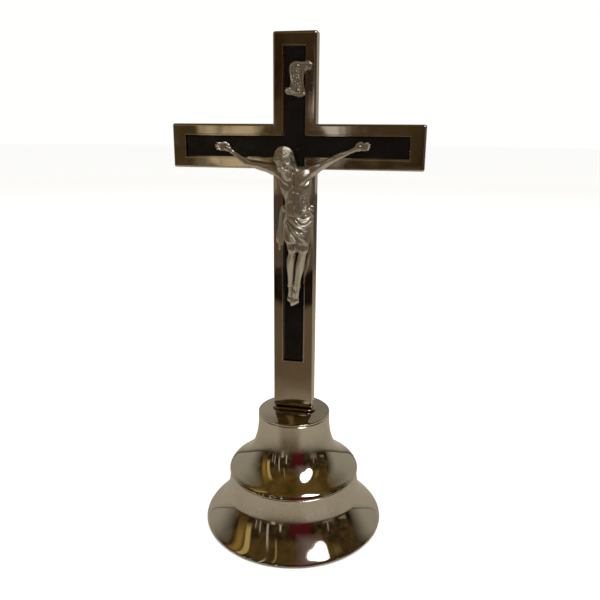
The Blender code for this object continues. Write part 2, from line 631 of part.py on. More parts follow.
# ---------------------------------------------------------------- assembly
def build():
    clear_scene()
    make_lower_bell()
    make_upper_bell()
    make_cap_disc()
    make_foot_collar()
    frame = make_cross_frame()
    inlay = make_inlay()
    make_back_plate()
    make_foot_block()
    make_tie_rod()
    make_washer("clamp_washer", WASHER_RADIUS, WASHER_Z, WASHER_THICKNESS)
    make_washer("lock_washer", LOCK_WASHER_RADIUS, LOCK_WASHER_Z, LOCK_WASHER_THICKNESS)
    make_clamp_nut()
    corpus = make_corpus()
    scroll = make_scroll()
    nails = {"hand_nail_left": LEFT_NAIL, "hand_nail_right": RIGHT_NAIL, "foot_nail": FOOT_NAIL}
    for name, place in nails.items():
        make_nail(name, place)
        nail_hole((corpus, inlay, frame), name, figure_place(*place))
        nail_seat(corpus, name, figure_place(*place))
    for name, place in scroll_pin_places().items():
        make_nail(name, place)
        nail_hole((scroll, inlay, frame), name, figure_place(*place))


build()
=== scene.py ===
"""Altar cross in its finish: polished nickel bells and cross, black inlay, cast figure and scroll."""

from math import cos, hypot, pi, radians, sin

import bmesh
import bpy
import numpy as np
import openvdb
from mathutils import Matrix, Vector
from mathutils.geometry import interpolate_bezier


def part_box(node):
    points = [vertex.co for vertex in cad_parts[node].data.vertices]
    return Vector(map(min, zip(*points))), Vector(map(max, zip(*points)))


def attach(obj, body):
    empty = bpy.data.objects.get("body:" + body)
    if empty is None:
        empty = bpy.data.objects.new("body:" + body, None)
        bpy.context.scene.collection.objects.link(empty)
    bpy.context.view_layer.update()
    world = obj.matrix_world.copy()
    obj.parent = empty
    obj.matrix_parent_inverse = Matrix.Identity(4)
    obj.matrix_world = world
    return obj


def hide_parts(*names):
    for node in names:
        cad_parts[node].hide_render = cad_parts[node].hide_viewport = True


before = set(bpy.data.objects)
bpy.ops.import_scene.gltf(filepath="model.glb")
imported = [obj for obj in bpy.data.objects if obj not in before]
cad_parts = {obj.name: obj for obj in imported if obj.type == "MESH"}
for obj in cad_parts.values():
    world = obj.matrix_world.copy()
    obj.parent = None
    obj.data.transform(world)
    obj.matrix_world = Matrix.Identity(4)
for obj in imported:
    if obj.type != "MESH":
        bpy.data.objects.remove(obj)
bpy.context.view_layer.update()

# The front of the cross faces -Y.
MM = 0.001
GAP = 0.3 * MM                 # clearance between pieces that touch
ON_AXIS = 1e-6                 # radius of a point on the axis of a turned piece


# ------------------------------------------------------------------ node helpers
def new_material(name):
    """A Principled material, its node tree and its shader."""
    material = bpy.data.materials.new(name)
    material.use_nodes = True
    tree = material.node_tree
    return material, tree, tree.nodes["Principled BSDF"]


def add_node(tree, kind, settings=None, **values):
    """A node with its settings, and values for its inputs by name (spaces as _)."""
    node = tree.nodes.new(kind)
    for key, value in (settings or {}).items():
        setattr(node, key, value)
    for key, value in values.items():
        node.inputs[key.replace("_", " ")].default_value = value
    return node


def object_place(tree, scale=(1, 1, 1)):
    """Object coordinates through a Mapping node."""
    place = tree.nodes.new("ShaderNodeTexCoord")
    mapping = add_node(tree, "ShaderNodeMapping", Scale=scale)
    tree.links.new(place.outputs["Object"], mapping.inputs["Vector"])
    return mapping.outputs["Vector"]


def noise(tree, scale, detail=4.0, stretch=(1, 1, 1), roughness=0.55):
    """Noise on Object coordinates: scale is features a metre."""
    node = add_node(tree, "ShaderNodeTexNoise", Scale=scale, Detail=detail, Roughness=roughness)
    tree.links.new(object_place(tree, stretch), node.inputs["Vector"])
    return node.outputs["Fac"]


def ramp(tree, source, stops):
    """Colour ramp with (place, colour) stops."""
    node = tree.nodes.new("ShaderNodeValToRGB")
    while len(node.color_ramp.elements) < len(stops):
        node.color_ramp.elements.new(0.5)
    for element, (place, colour) in zip(node.color_ramp.elements, stops):
        element.position = place
        element.color = (*colour, 1.0)
    tree.links.new(source, node.inputs["Fac"])
    return node.outputs["Color"]


def spread(tree, source, low, high, from_low=0.0, from_high=1.0):
    """Map a value from one range to another."""
    node = add_node(tree, "ShaderNodeMapRange")
    node.inputs["From Min"].default_value = from_low
    node.inputs["From Max"].default_value = from_high
    node.inputs["To Min"].default_value = low
    node.inputs["To Max"].default_value = high
    tree.links.new(source, node.inputs["Value"])
    return node.outputs["Result"]


def arithmetic(tree, operation, first, second):
    node = add_node(tree, "ShaderNodeMath", {"operation": operation})
    for socket, value in zip(node.inputs, (first, second)):
        if isinstance(value, (int, float)):
            socket.default_value = value
        else:
            tree.links.new(value, socket)
    return node.outputs["Value"]


def bump(tree, height, strength, distance, under=None):
    node = add_node(tree, "ShaderNodeBump", Strength=strength, Distance=distance)
    tree.links.new(height, node.inputs["Height"])
    if under:
        tree.links.new(under, node.inputs["Normal"])
    return node.outputs["Normal"]


# ------------------------------------------------------------------ finishes
def polished_nickel(name, colour, dull_colour, gloss, haze, wobble=0.0, rings=0.0, satin=()):
    """Plated metal: handling haze, hairline scratches, a little waviness, turning lines.

    satin lists (height, added roughness) for bands that were left brushed.
    """
    material, tree, shader = new_material(name)
    shader.inputs["Metallic"].default_value = 1.0
    patches = noise(tree, 55, 5.0)
    shade = ramp(tree, patches, [(0.35, colour), (0.75, dull_colour)])
    tree.links.new(shade, shader.inputs["Base Color"])
    smear = noise(tree, 140, 3.0, (1.0, 1.0, 0.35))
    haze_amount = spread(tree, smear, 0.0, haze, 0.48, 0.75)
    scratch = noise(tree, 2600, 2.0, (0.05, 1.0, 1.0))
    scratch_amount = spread(tree, scratch, 0.0, 0.05, 0.62, 0.72)
    rough = arithmetic(tree, "ADD", arithmetic(tree, "ADD", haze_amount, scratch_amount), gloss)
    if satin:
        split = tree.nodes.new("ShaderNodeSeparateXYZ")
        tree.links.new(object_place(tree), split.inputs["Vector"])
        share = arithmetic(tree, "MULTIPLY", split.outputs["Z"], 1 / SATIN_TOP)
        brushed = ramp(tree, share, [(z / SATIN_TOP, (v, v, v)) for z, v in satin])
        rough = arithmetic(tree, "ADD", rough, brushed)
    tree.links.new(rough, shader.inputs["Roughness"])
    normal = bump(tree, noise(tree, 900, 2.0), 0.05, 0.00002)
    if wobble:
        normal = bump(tree, noise(tree, 38, 1.0), wobble, 0.0012, normal)
    if rings:
        wave = add_node(tree, "ShaderNodeTexWave", {"wave_type": "BANDS", "bands_direction": "Z"},
                        Scale=420.0, Distortion=1.2, Detail=2.0)
        tree.links.new(object_place(tree), wave.inputs["Vector"])
        normal = bump(tree, wave.outputs["Fac"], rings, 0.00002, normal)
    tree.links.new(normal, shader.inputs["Normal"])
    return material


def cast_nickel(name):
    """Plated casting: satin, and smoother where hands and cloths have rubbed; painted shade darkens the
    hollows and the raised places are painted lighter.
    """
    material, tree, shader = new_material(name)
    shader.inputs["Metallic"].default_value = 1.0
    relief = add_node(tree, "ShaderNodeAttribute", {"attribute_name": "relief"}).outputs["Fac"]
    # painted shade: the relief darkens the hollows and paints the raised places lighter
    tone = ramp(tree, relief, [(0.0, (0.13, 0.11, 0.085)), (0.32, (0.44, 0.415, 0.36)),
                               (0.55, (0.66, 0.63, 0.565)), (1.0, (0.80, 0.775, 0.71))])
    tree.links.new(tone, shader.inputs["Base Color"])
    grain = noise(tree, 1500, 4.0)
    worn = spread(tree, relief, 0.42, 0.27, 0.3, 0.8)
    rough = arithmetic(tree, "ADD", worn, spread(tree, grain, -0.03, 0.06))
    tree.links.new(rough, shader.inputs["Roughness"])
    tree.links.new(bump(tree, grain, 0.12, 0.00006), shader.inputs["Normal"])
    return material


def black_inlay(name):
    """Black lacquered inlay: fine orange peel, dust haze and a few rubbed places."""
    material, tree, shader = new_material(name)
    tone = ramp(tree, noise(tree, 90, 4.0), [(0.3, (0.0022, 0.0016, 0.0012)),
                                             (0.8, (0.0052, 0.0040, 0.0030))])
    tree.links.new(tone, shader.inputs["Base Color"])
    rough = spread(tree, noise(tree, 160, 5.0), 0.16, 0.34, 0.3, 0.8)
    tree.links.new(rough, shader.inputs["Roughness"])
    shader.inputs["Specular IOR Level"].default_value = 0.22
    tree.links.new(bump(tree, noise(tree, 700, 3.0), 0.10, 0.00006), shader.inputs["Normal"])
    return material


def plain_metal(name, low, high, roughness, grain_scale):
    """Unpolished hardware: mottled colour and a fine machined grain."""
    material, tree, shader = new_material(name)
    shader.inputs["Metallic"].default_value = 1.0
    tone = ramp(tree, noise(tree, 300, 5.0), [(0.3, low), (0.7, high)])
    tree.links.new(tone, shader.inputs["Base Color"])
    grain = noise(tree, grain_scale, 3.0, (1.0, 1.0, 0.2))
    rough = spread(tree, grain, roughness - 0.08, roughness + 0.10)
    tree.links.new(rough, shader.inputs["Roughness"])
    tree.links.new(bump(tree, grain, 0.3, 0.00005), shader.inputs["Normal"])
    return material


SATIN_TOP = 80 * MM            # height of the top of the scale for the brushed bands
# Both coves were left brushed and both domes polished: (height, added roughness).
BRUSHED_COVES = ((0.0, 0.0), (18 * MM, 0.0), (22 * MM, 0.22), (33.5 * MM, 0.20), (34.2 * MM, 0.0),
                 (53.5 * MM, 0.0), (57.5 * MM, 0.20), (72 * MM, 0.18), (73.4 * MM, 0.03))
SPUN = polished_nickel("spun_nickel", (0.60, 0.565, 0.50), (0.55, 0.51, 0.44), 0.035, 0.07, rings=0.06,
                       satin=BRUSHED_COVES)
PLATED = polished_nickel("frame_nickel", (0.60, 0.55, 0.47), (0.54, 0.49, 0.41), 0.05, 0.10,
                         wobble=0.35)
PIN = polished_nickel("nail_nickel", (0.64, 0.62, 0.57), (0.56, 0.53, 0.48), 0.12, 0.10)
CAST = cast_nickel("cast_nickel")
BLACK = black_inlay("black_inlay")
BRASS = plain_metal("brass_block", (0.50, 0.36, 0.15), (0.66, 0.50, 0.25), 0.38, 1800)
ZINC = plain_metal("zinc_hardware", (0.44, 0.44, 0.42), (0.60, 0.60, 0.57), 0.34, 2200)


# ------------------------------------------------------------------ modelling helpers
def rest():
    """Back to object mode with nothing selected."""
    if bpy.context.object and bpy.context.object.mode != "OBJECT":
        bpy.ops.object.mode_set(mode="OBJECT")
    bpy.ops.object.select_all(action="DESELECT")


def hold(piece):
    """Make a piece the only one picked, ready for an operator."""
    bpy.ops.object.select_all(action="DESELECT")
    piece.select_set(True)
    bpy.context.view_layer.objects.active = piece


def edit(mode="FACE"):
    bpy.ops.object.mode_set(mode="EDIT")
    bpy.ops.mesh.select_mode(type=mode)
    bpy.ops.mesh.select_all(action="DESELECT")


def pick(kind, test):
    """Select just the verts, edges or faces of the open mesh that pass a test."""
    bpy.ops.mesh.select_mode(type={"verts": "VERT", "edges": "EDGE", "faces": "FACE"}[kind])
    bpy.ops.mesh.select_all(action="DESELECT")
    bm = bmesh.from_edit_mesh(bpy.context.object.data)
    for part in getattr(bm, kind):
        if test(part):
            part.select_set(True)
    bm.select_flush_mode()
    bmesh.update_edit_mesh(bpy.context.object.data)


def use_modifier(kind, **settings):
    """Add a modifier to the open object, set it and apply it."""
    piece = bpy.context.object
    bpy.ops.object.modifier_add(type=kind)
    modifier = piece.modifiers[-1]
    for key, value in settings.items():
        setattr(modifier, key, value)
    bpy.ops.object.modifier_apply(modifier=modifier.name)


def carve(piece, tool, operation="DIFFERENCE"):
    """Cut a piece with another one, which is used up."""
    hold(piece)
    use_modifier("BOOLEAN", operation=operation, object=tool, solver="EXACT")
    bpy.data.objects.remove(tool, do_unlink=True)


def drill(radius, place, depth):
    """Cut an upright hole through the open object with a cylinder."""
    piece = bpy.context.object
    bpy.ops.object.mode_set(mode="OBJECT")
    bpy.ops.mesh.primitive_cylinder_add(vertices=48, radius=radius, depth=depth, location=place)
    carve(piece, bpy.context.object)


def settle(name, material, smooth=40):
    """End the edit, put the place in the mesh, name the piece and give it its finish."""
    bpy.ops.object.mode_set(mode="OBJECT")
    piece = bpy.context.object
    bpy.ops.object.transform_apply(location=True, rotation=True, scale=True)
    if smooth:
        bpy.ops.object.shade_smooth_by_angle(angle=radians(smooth))
        use_modifier("WEIGHTED_NORMAL", keep_sharp=True)
    piece.name = name
    piece.data.name = name
    piece.data.materials.clear()
    piece.data.materials.append(material)
    bpy.ops.object.select_all(action="DESELECT")
    return piece


def stands_for(piece, node):
    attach(piece, "root")
    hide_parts(node)
    return piece


def turned_piece(name, material, outline, steps=144, smooth=30):
    """Draw a (radius, height) outline by extruding one vertex, then spin it round Z."""
    rest()
    bpy.ops.mesh.primitive_plane_add(size=0.01)
    edit("VERT")
    bpy.ops.mesh.select_all(action="SELECT")
    bpy.ops.mesh.merge(type="CENTER")
    bpy.ops.mesh.select_all(action="SELECT")
    bpy.ops.transform.translate(value=(outline[0][0], 0, outline[0][1]))
    for (r0, z0), (r1, z1) in zip(outline, outline[1:]):
        bpy.ops.mesh.extrude_region_move(TRANSFORM_OT_translate={"value": (r1 - r0, 0, z1 - z0)})
    bpy.ops.mesh.select_all(action="SELECT")
    bpy.ops.mesh.spin(steps=steps, angle=2 * pi, center=(0, 0, 0), axis=(0, 0, 1))
    bpy.ops.mesh.select_all(action="SELECT")
    bpy.ops.mesh.remove_doubles(threshold=1e-6)
    bpy.ops.mesh.normals_make_consistent(inside=False)
    return settle(name, material, smooth)


# ------------------------------------------------------------------ spun base
SPUN_WALL = 1.2 * MM
SHOULDER_INSET = 0.4 * MM      # from the upper bell's rim in to the lower bell's shoulder
SPIGOT_INSET = 4.5 * MM        # from that shoulder in to the step that locates the upper bell
FOOT_RIM = 3.0 * MM            # flat ring that the base rests on
FLANGE = 8.5 * MM              # turned in at the top of the upper bell
RIM_BEAD = 0.55 * MM
DISC_LAND = 15.8 * MM          # radius of the flat in the middle of the disc
DISC_WALL = 1.3 * MM
DISC_ROUND = 0.5 * MM
waist_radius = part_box("upper_bell")[1].x
foot_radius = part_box("lower_bell")[1].x
neck_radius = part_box("cap_disc")[1].x
shoulder_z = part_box("upper_bell")[0].z - GAP
rim_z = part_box("upper_bell")[0].z
neck_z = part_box("upper_bell")[1].z
web_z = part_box("lower_bell")[1].z
rod_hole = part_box("tie_rod")[1].x + GAP


def bell_curve(top, low, cove, flare, slope, pulls, steps=22):
    """Side of a bell from top to rim: a steep cove that turns over into a round dome.

    The cove drops by cove and flares by flare; there the side slopes by slope. The pulls say how
    long the curve holds its way below the top, before the turn, after it and above the rim.
    """
    top, low = Vector(top), Vector(low)
    turn = Vector((top.x + flare, top.y - cove))
    down, along = Vector((0, -1)), Vector((cos(slope), -sin(slope)))
    cove_line = interpolate_bezier(top, top + down * pulls[0], turn - along * pulls[1], turn, steps)
    dome_line = interpolate_bezier(turn, turn + along * pulls[2], low - down * pulls[3], low, steps)
    return [tuple(p) for p in list(cove_line) + list(dome_line)[1:]]


def inner_line(curve, wall):
    """The same line moved in by the wall."""
    moved = []
    for i, point in enumerate(curve):
        along = (Vector(curve[min(i + 1, len(curve) - 1)]) - Vector(curve[max(i - 1, 0)])).normalized()
        moved.append((point[0] + along.y * wall, point[1] - along.x * wall))
    return moved


def arc(centre, radius, start, end, steps):
    """Points on a round corner, angles in degrees."""
    return [(centre[0] + radius * cos(radians(start + (end - start) * k / steps)),
             centre[1] + radius * sin(radians(start + (end - start) * k / steps)))
            for k in range(steps + 1)]


def make_lower_bell():
    shoulder_radius = waist_radius - SHOULDER_INSET
    outer = bell_curve(top=(shoulder_radius, shoulder_z - 0.3 * MM), low=(foot_radius, 0.5 * MM),
                       cove=15.7 * MM, flare=2.7 * MM, slope=radians(63),
                       pulls=(4.5 * MM, 4.5 * MM, 12.2 * MM, 2.4 * MM))
    inner = [p for p in inner_line(outer, SPUN_WALL) if 2 * MM < p[1] < shoulder_z - 2.4 * MM]
    step = shoulder_radius - SPIGOT_INSET
    foot_inner = foot_radius - FOOT_RIM
    outline = [(rod_hole, web_z - SPUN_WALL), (rod_hole, web_z)]
    outline += arc((step - 0.6 * MM, web_z - 0.6 * MM), 0.6 * MM, 90, 0, 5)
    outline += [(step, shoulder_z), (shoulder_radius - 0.3 * MM, shoulder_z)]
    outline += outer + [(foot_radius - 0.5 * MM, 0), (foot_inner + 0.4 * MM, 0), (foot_inner, 0.4 * MM)]
    outline += [(foot_inner, SPUN_WALL - 0.2 * MM), (foot_inner + 0.2 * MM, SPUN_WALL),
                (foot_radius - 2 * MM, SPUN_WALL + 0.1 * MM)]
    outline += inner[::-1]
    outline += arc((shoulder_radius - 2.2 * MM, shoulder_z - 2.2 * MM), 1.0 * MM, 5, 90, 5)
    outline += [(step - SPUN_WALL, shoulder_z - SPUN_WALL), (step - SPUN_WALL, web_z - SPUN_WALL)]
    outline += [outline[0]]
    return stands_for(turned_piece("lower_bell_spun", SPUN, outline), "lower_bell")


def make_upper_bell():
    outer = bell_curve(top=(neck_radius, neck_z - 0.35 * MM),
                       low=(waist_radius - 0.45 * MM, rim_z + 1.4 * MM),
                       cove=20.3 * MM, flare=3.1 * MM, slope=radians(68),
                       pulls=(6.3 * MM, 8.0 * MM, 12.0 * MM, 2.6 * MM))
    inner = [p for p in inner_line(outer, SPUN_WALL) if rim_z + 2 * MM < p[1] < neck_z - 2.4 * MM]
    flange = neck_radius - FLANGE
    outline = [(flange, neck_z - SPUN_WALL), (flange, neck_z), (neck_radius - 0.35 * MM, neck_z)]
    outline += outer
    outline += arc((waist_radius - RIM_BEAD, rim_z + RIM_BEAD), RIM_BEAD, 50, -90, 9)
    outline += [(waist_radius - 1.6 * MM, rim_z)] + inner[::-1]
    outline += arc((neck_radius - 2.2 * MM, neck_z - 2.2 * MM), 1.0 * MM, 0, 90, 5)
    outline += [outline[0]]
    return stands_for(turned_piece("upper_bell_spun", SPUN, outline), "upper_bell")


def make_cap_disc():
    low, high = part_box("cap_disc")[0].z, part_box("cap_disc")[1].z
    rim_top = low + DISC_WALL
    outline = [(rod_hole, high - DISC_WALL), (rod_hole, high), (DISC_LAND * 0.5, high)]
    dome = interpolate_bezier(Vector((DISC_LAND * 0.5, high)), Vector((DISC_LAND * 0.95, high)),
                              Vector((neck_radius - 3.4 * MM, rim_top + 0.35 * MM)),
                              Vector((neck_radius - 1.0 * MM, rim_top)), 14)
    outline += [tuple(p) for p in dome][1:]
    outline += arc((neck_radius - DISC_ROUND, rim_top - DISC_ROUND), DISC_ROUND, 90, 0, 5)
    outline += arc((neck_radius - 0.25 * MM, low + 0.25 * MM), 0.25 * MM, 0, -90, 3)
    outline += [(neck_radius - 3 * MM, low), (DISC_LAND - 2 * MM, high - DISC_WALL)]
    outline += [outline[0]]
    return stands_for(turned_piece("cap_disc_domed", SPUN, outline), "cap_disc")


# ------------------------------------------------------------------ cross
BAR = 25.0 * MM
EDGE_ROUND = 2.0 * MM          # front edge
CORNER_ROUND = 1.2 * MM        # ends of the bars, seen from the front
BACK_ROUND = 0.6 * MM
SHELL_WALL = 1.3 * MM
LEDGE = 0.9 * MM               # the back plate lies on it
LIP = 0.7 * MM                 # raised line round the pocket
LIP_RISE = 0.35 * MM
LIP_ROUND = 0.2 * MM
POCKET_HALF = 6.2 * MM         # half the pocket's width
CROSSBAR_DROP = 61.0 * MM      # top of the cross down to the middle of the crossbar
foot_z, top_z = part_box("cross_frame")[0].z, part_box("cross_frame")[1].z
arm_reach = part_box("cross_frame")[1].x
front_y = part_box("cross_frame")[0].y + LIP_RISE
back_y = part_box("cross_frame")[1].y
inlay_low, inlay_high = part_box("inlay")
plate_low, plate_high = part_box("back_plate")
pocket_floor_y = inlay_high.y + GAP
cross_z = top_z - CROSSBAR_DROP


def cross_block(half, arm, top, foot, near_y, far_y):
    """A cross grown from a cube: its four sides extruded out to their reaches."""
    rest()
    bpy.ops.mesh.primitive_cube_add(size=1, location=(0, (near_y + far_y) / 2, cross_z),
                                    scale=(2 * half, far_y - near_y, 2 * half))
    bpy.ops.object.transform_apply(location=True, rotation=True, scale=True)
    edit()
    for axis, sign, reach in ((0, 1, arm - half), (0, -1, arm - half),
                              (2, 1, top - cross_z - half), (2, -1, cross_z - half - foot)):
        pick("faces", lambda f: f.normal[axis] * sign > 0.9
             and abs(f.calc_center_median()[2 - axis] - (cross_z if axis == 0 else 0)) < half / 2)
        move = [0, 0, 0]
        move[axis] = sign * reach
        bpy.ops.mesh.extrude_region_move(TRANSFORM_OT_translate={"value": move})


def inset(thickness):
    bpy.ops.mesh.inset(thickness=thickness, use_boundary=True, use_even_offset=True)


def push(y_from, y_to):
    """Extrude the picked faces along Y."""
    bpy.ops.mesh.extrude_region_move(TRANSFORM_OT_translate={"value": (0, y_to - y_from, 0)})


def slide_ends(arm, top, foot):
    """Move the ends of the picked cross-shaped face to their reaches, its sides stay."""
    bm = bmesh.from_edit_mesh(bpy.context.object.data)
    verts = [v for v in bm.verts if v.select]
    reach = max(abs(v.co.x) for v in verts)
    high = max(v.co.z for v in verts)
    low = min(v.co.z for v in verts)
    for v in verts:
        if abs(v.co.x) > reach - 1e-5:
            v.co.x = arm if v.co.x > 0 else -arm
        if v.co.z > high - 1e-5:
            v.co.z = top
        if v.co.z < low + 1e-5:
            v.co.z = foot
    bmesh.update_edit_mesh(bpy.context.object.data)


def at_depth(edge, y):
    return all(abs(v.co.y - y) < 1e-5 for v in edge.verts)


def is_corner(edge):
    """A convex edge between two faces at right angles."""
    return edge.is_manifold and edge.is_convex and edge.calc_face_angle(0) > 1


def weigh(test, amount):
    """Give the picked edges a bevel weight: their share of the widest round."""
    pick("edges", test)
    bpy.ops.transform.edge_bevelweight(value=amount)


def make_cross_frame():
    cross_block(BAR / 2, arm_reach, top_z, foot_z, front_y, back_y)
    pick("faces", lambda f: f.normal.y < -0.9)
    inset(BAR / 2 - POCKET_HALF - LIP)
    grown = GAP + LIP
    slide_ends(inlay_high.x + grown, inlay_high.z + grown, inlay_low.z - grown)
    push(front_y, front_y - LIP_RISE)
    inset(LIP)
    push(front_y - LIP_RISE, pocket_floor_y)
    pick("faces", lambda f: f.normal.y > 0.9)
    inset(SHELL_WALL)
    push(back_y, plate_low.y - GAP)
    inset(LEDGE)
    ceiling_y = front_y + SHELL_WALL
    push(plate_low.y - GAP, ceiling_y)
    tray = GAP + SHELL_WALL
    inset(BAR / 2 - SHELL_WALL - LEDGE - POCKET_HALF - SHELL_WALL)
    slide_ends(inlay_high.x + tray, inlay_high.z + tray, inlay_low.z - tray)
    push(ceiling_y, pocket_floor_y + SHELL_WALL)
    depth = back_y - front_y
    weigh(lambda e: is_corner(e) and abs(e.verts[0].co.y - e.verts[1].co.y) > 0.9 * depth,
          CORNER_ROUND / EDGE_ROUND)
    weigh(lambda e: at_depth(e, front_y) and is_corner(e), 1.0)
    weigh(lambda e: at_depth(e, back_y) and is_corner(e)
          and any(f.calc_center_median().y < 0.5 * MM for f in e.link_faces), BACK_ROUND / EDGE_ROUND)
    weigh(lambda e: at_depth(e, front_y - LIP_RISE) and is_corner(e), LIP_ROUND / EDGE_ROUND)
    bpy.ops.object.mode_set(mode="OBJECT")
    use_modifier("BEVEL", limit_method="WEIGHT", width=EDGE_ROUND, segments=7)
    drill(rod_hole, (0, 0, foot_z), 6 * MM)
    return stands_for(settle("cross_frame_cast", PLATED, 35), "cross_frame")


def make_inlay():
    cross_block(POCKET_HALF - GAP, inlay_high.x, inlay_high.z, inlay_low.z, inlay_low.y, inlay_high.y)
    pick("edges", lambda e: at_depth(e, inlay_low.y) and is_corner(e))
    bpy.ops.mesh.bevel(offset=0.75 * MM, segments=4, affect="EDGES", profile=0.6)
    return stands_for(settle("inlay_black", BLACK, 50), "inlay")


def make_back_plate():
    cross_block(BAR / 2 - SHELL_WALL - GAP, plate_high.x, plate_high.z, plate_low.z,
                plate_low.y, plate_high.y)
    pick("edges", lambda e: at_depth(e, plate_high.y) and is_corner(e))
    bpy.ops.mesh.bevel(offset=0.3 * MM, segments=3, affect="EDGES")
    return stands_for(settle("back_plate_flat", PLATED, 35), "back_plate")


def make_foot_collar():
    low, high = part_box("foot_collar")
    size = high - low
    rest()
    bpy.ops.mesh.primitive_cube_add(size=1, location=(low + high) / 2, scale=size)
    bpy.ops.object.transform_apply(location=True, rotation=True, scale=True)
    edit()
    pick("edges", lambda e: abs(e.verts[0].co.z - e.verts[1].co.z) > 0.5 * size.z)
    bpy.ops.mesh.bevel(offset=size.y / 2 - 0.05 * MM, segments=12, affect="EDGES")
    pick("edges", lambda e: all(abs(v.co.z - high.z) < 1e-6 for v in e.verts) and is_corner(e))
    bpy.ops.mesh.bevel(offset=0.35 * MM, segments=4, affect="EDGES")
    drill(rod_hole, (0, 0, low.z), 6 * MM)
    return stands_for(settle("foot_collar_rounded", PLATED, 40), "foot_collar")


# ------------------------------------------------------------------ figure
# The casting is modelled in "clay": the distance to its skin on a fine grid, built up from strokes
# and lumps that melt into one another. Places are millimetres: across, forward of the inlay's
# face, above the middle of the crossbar; the fourth number is the stroke's radius there.
CLAY_CELL = 0.29
FAR = 4.0                      # the distance kept where there is no clay
NAIL_HEAD = 0.6 * MM           # height of a nail's head
NAIL_SHANK = 0.55 * MM         # its radius
figure_y = inlay_low.y - GAP


def smooth_path(points, steps=6):
    """More places on a smooth curve through the given ones."""
    places = np.array(points, float)
    ends = np.vstack([2 * places[0] - places[1], places, 2 * places[-1] - places[-2]])
    out = []
    for i in range(len(places) - 1):
        a, b, c, d = ends[i:i + 4]
        for t in np.arange(steps) / steps:
            out.append(0.5 * (2 * b + (c - a) * t + (2 * a - 5 * b + 4 * c - d) * t ** 2
                              + (3 * b - a - 3 * c + d) * t ** 3))
    return np.array(out + [places[-1]])


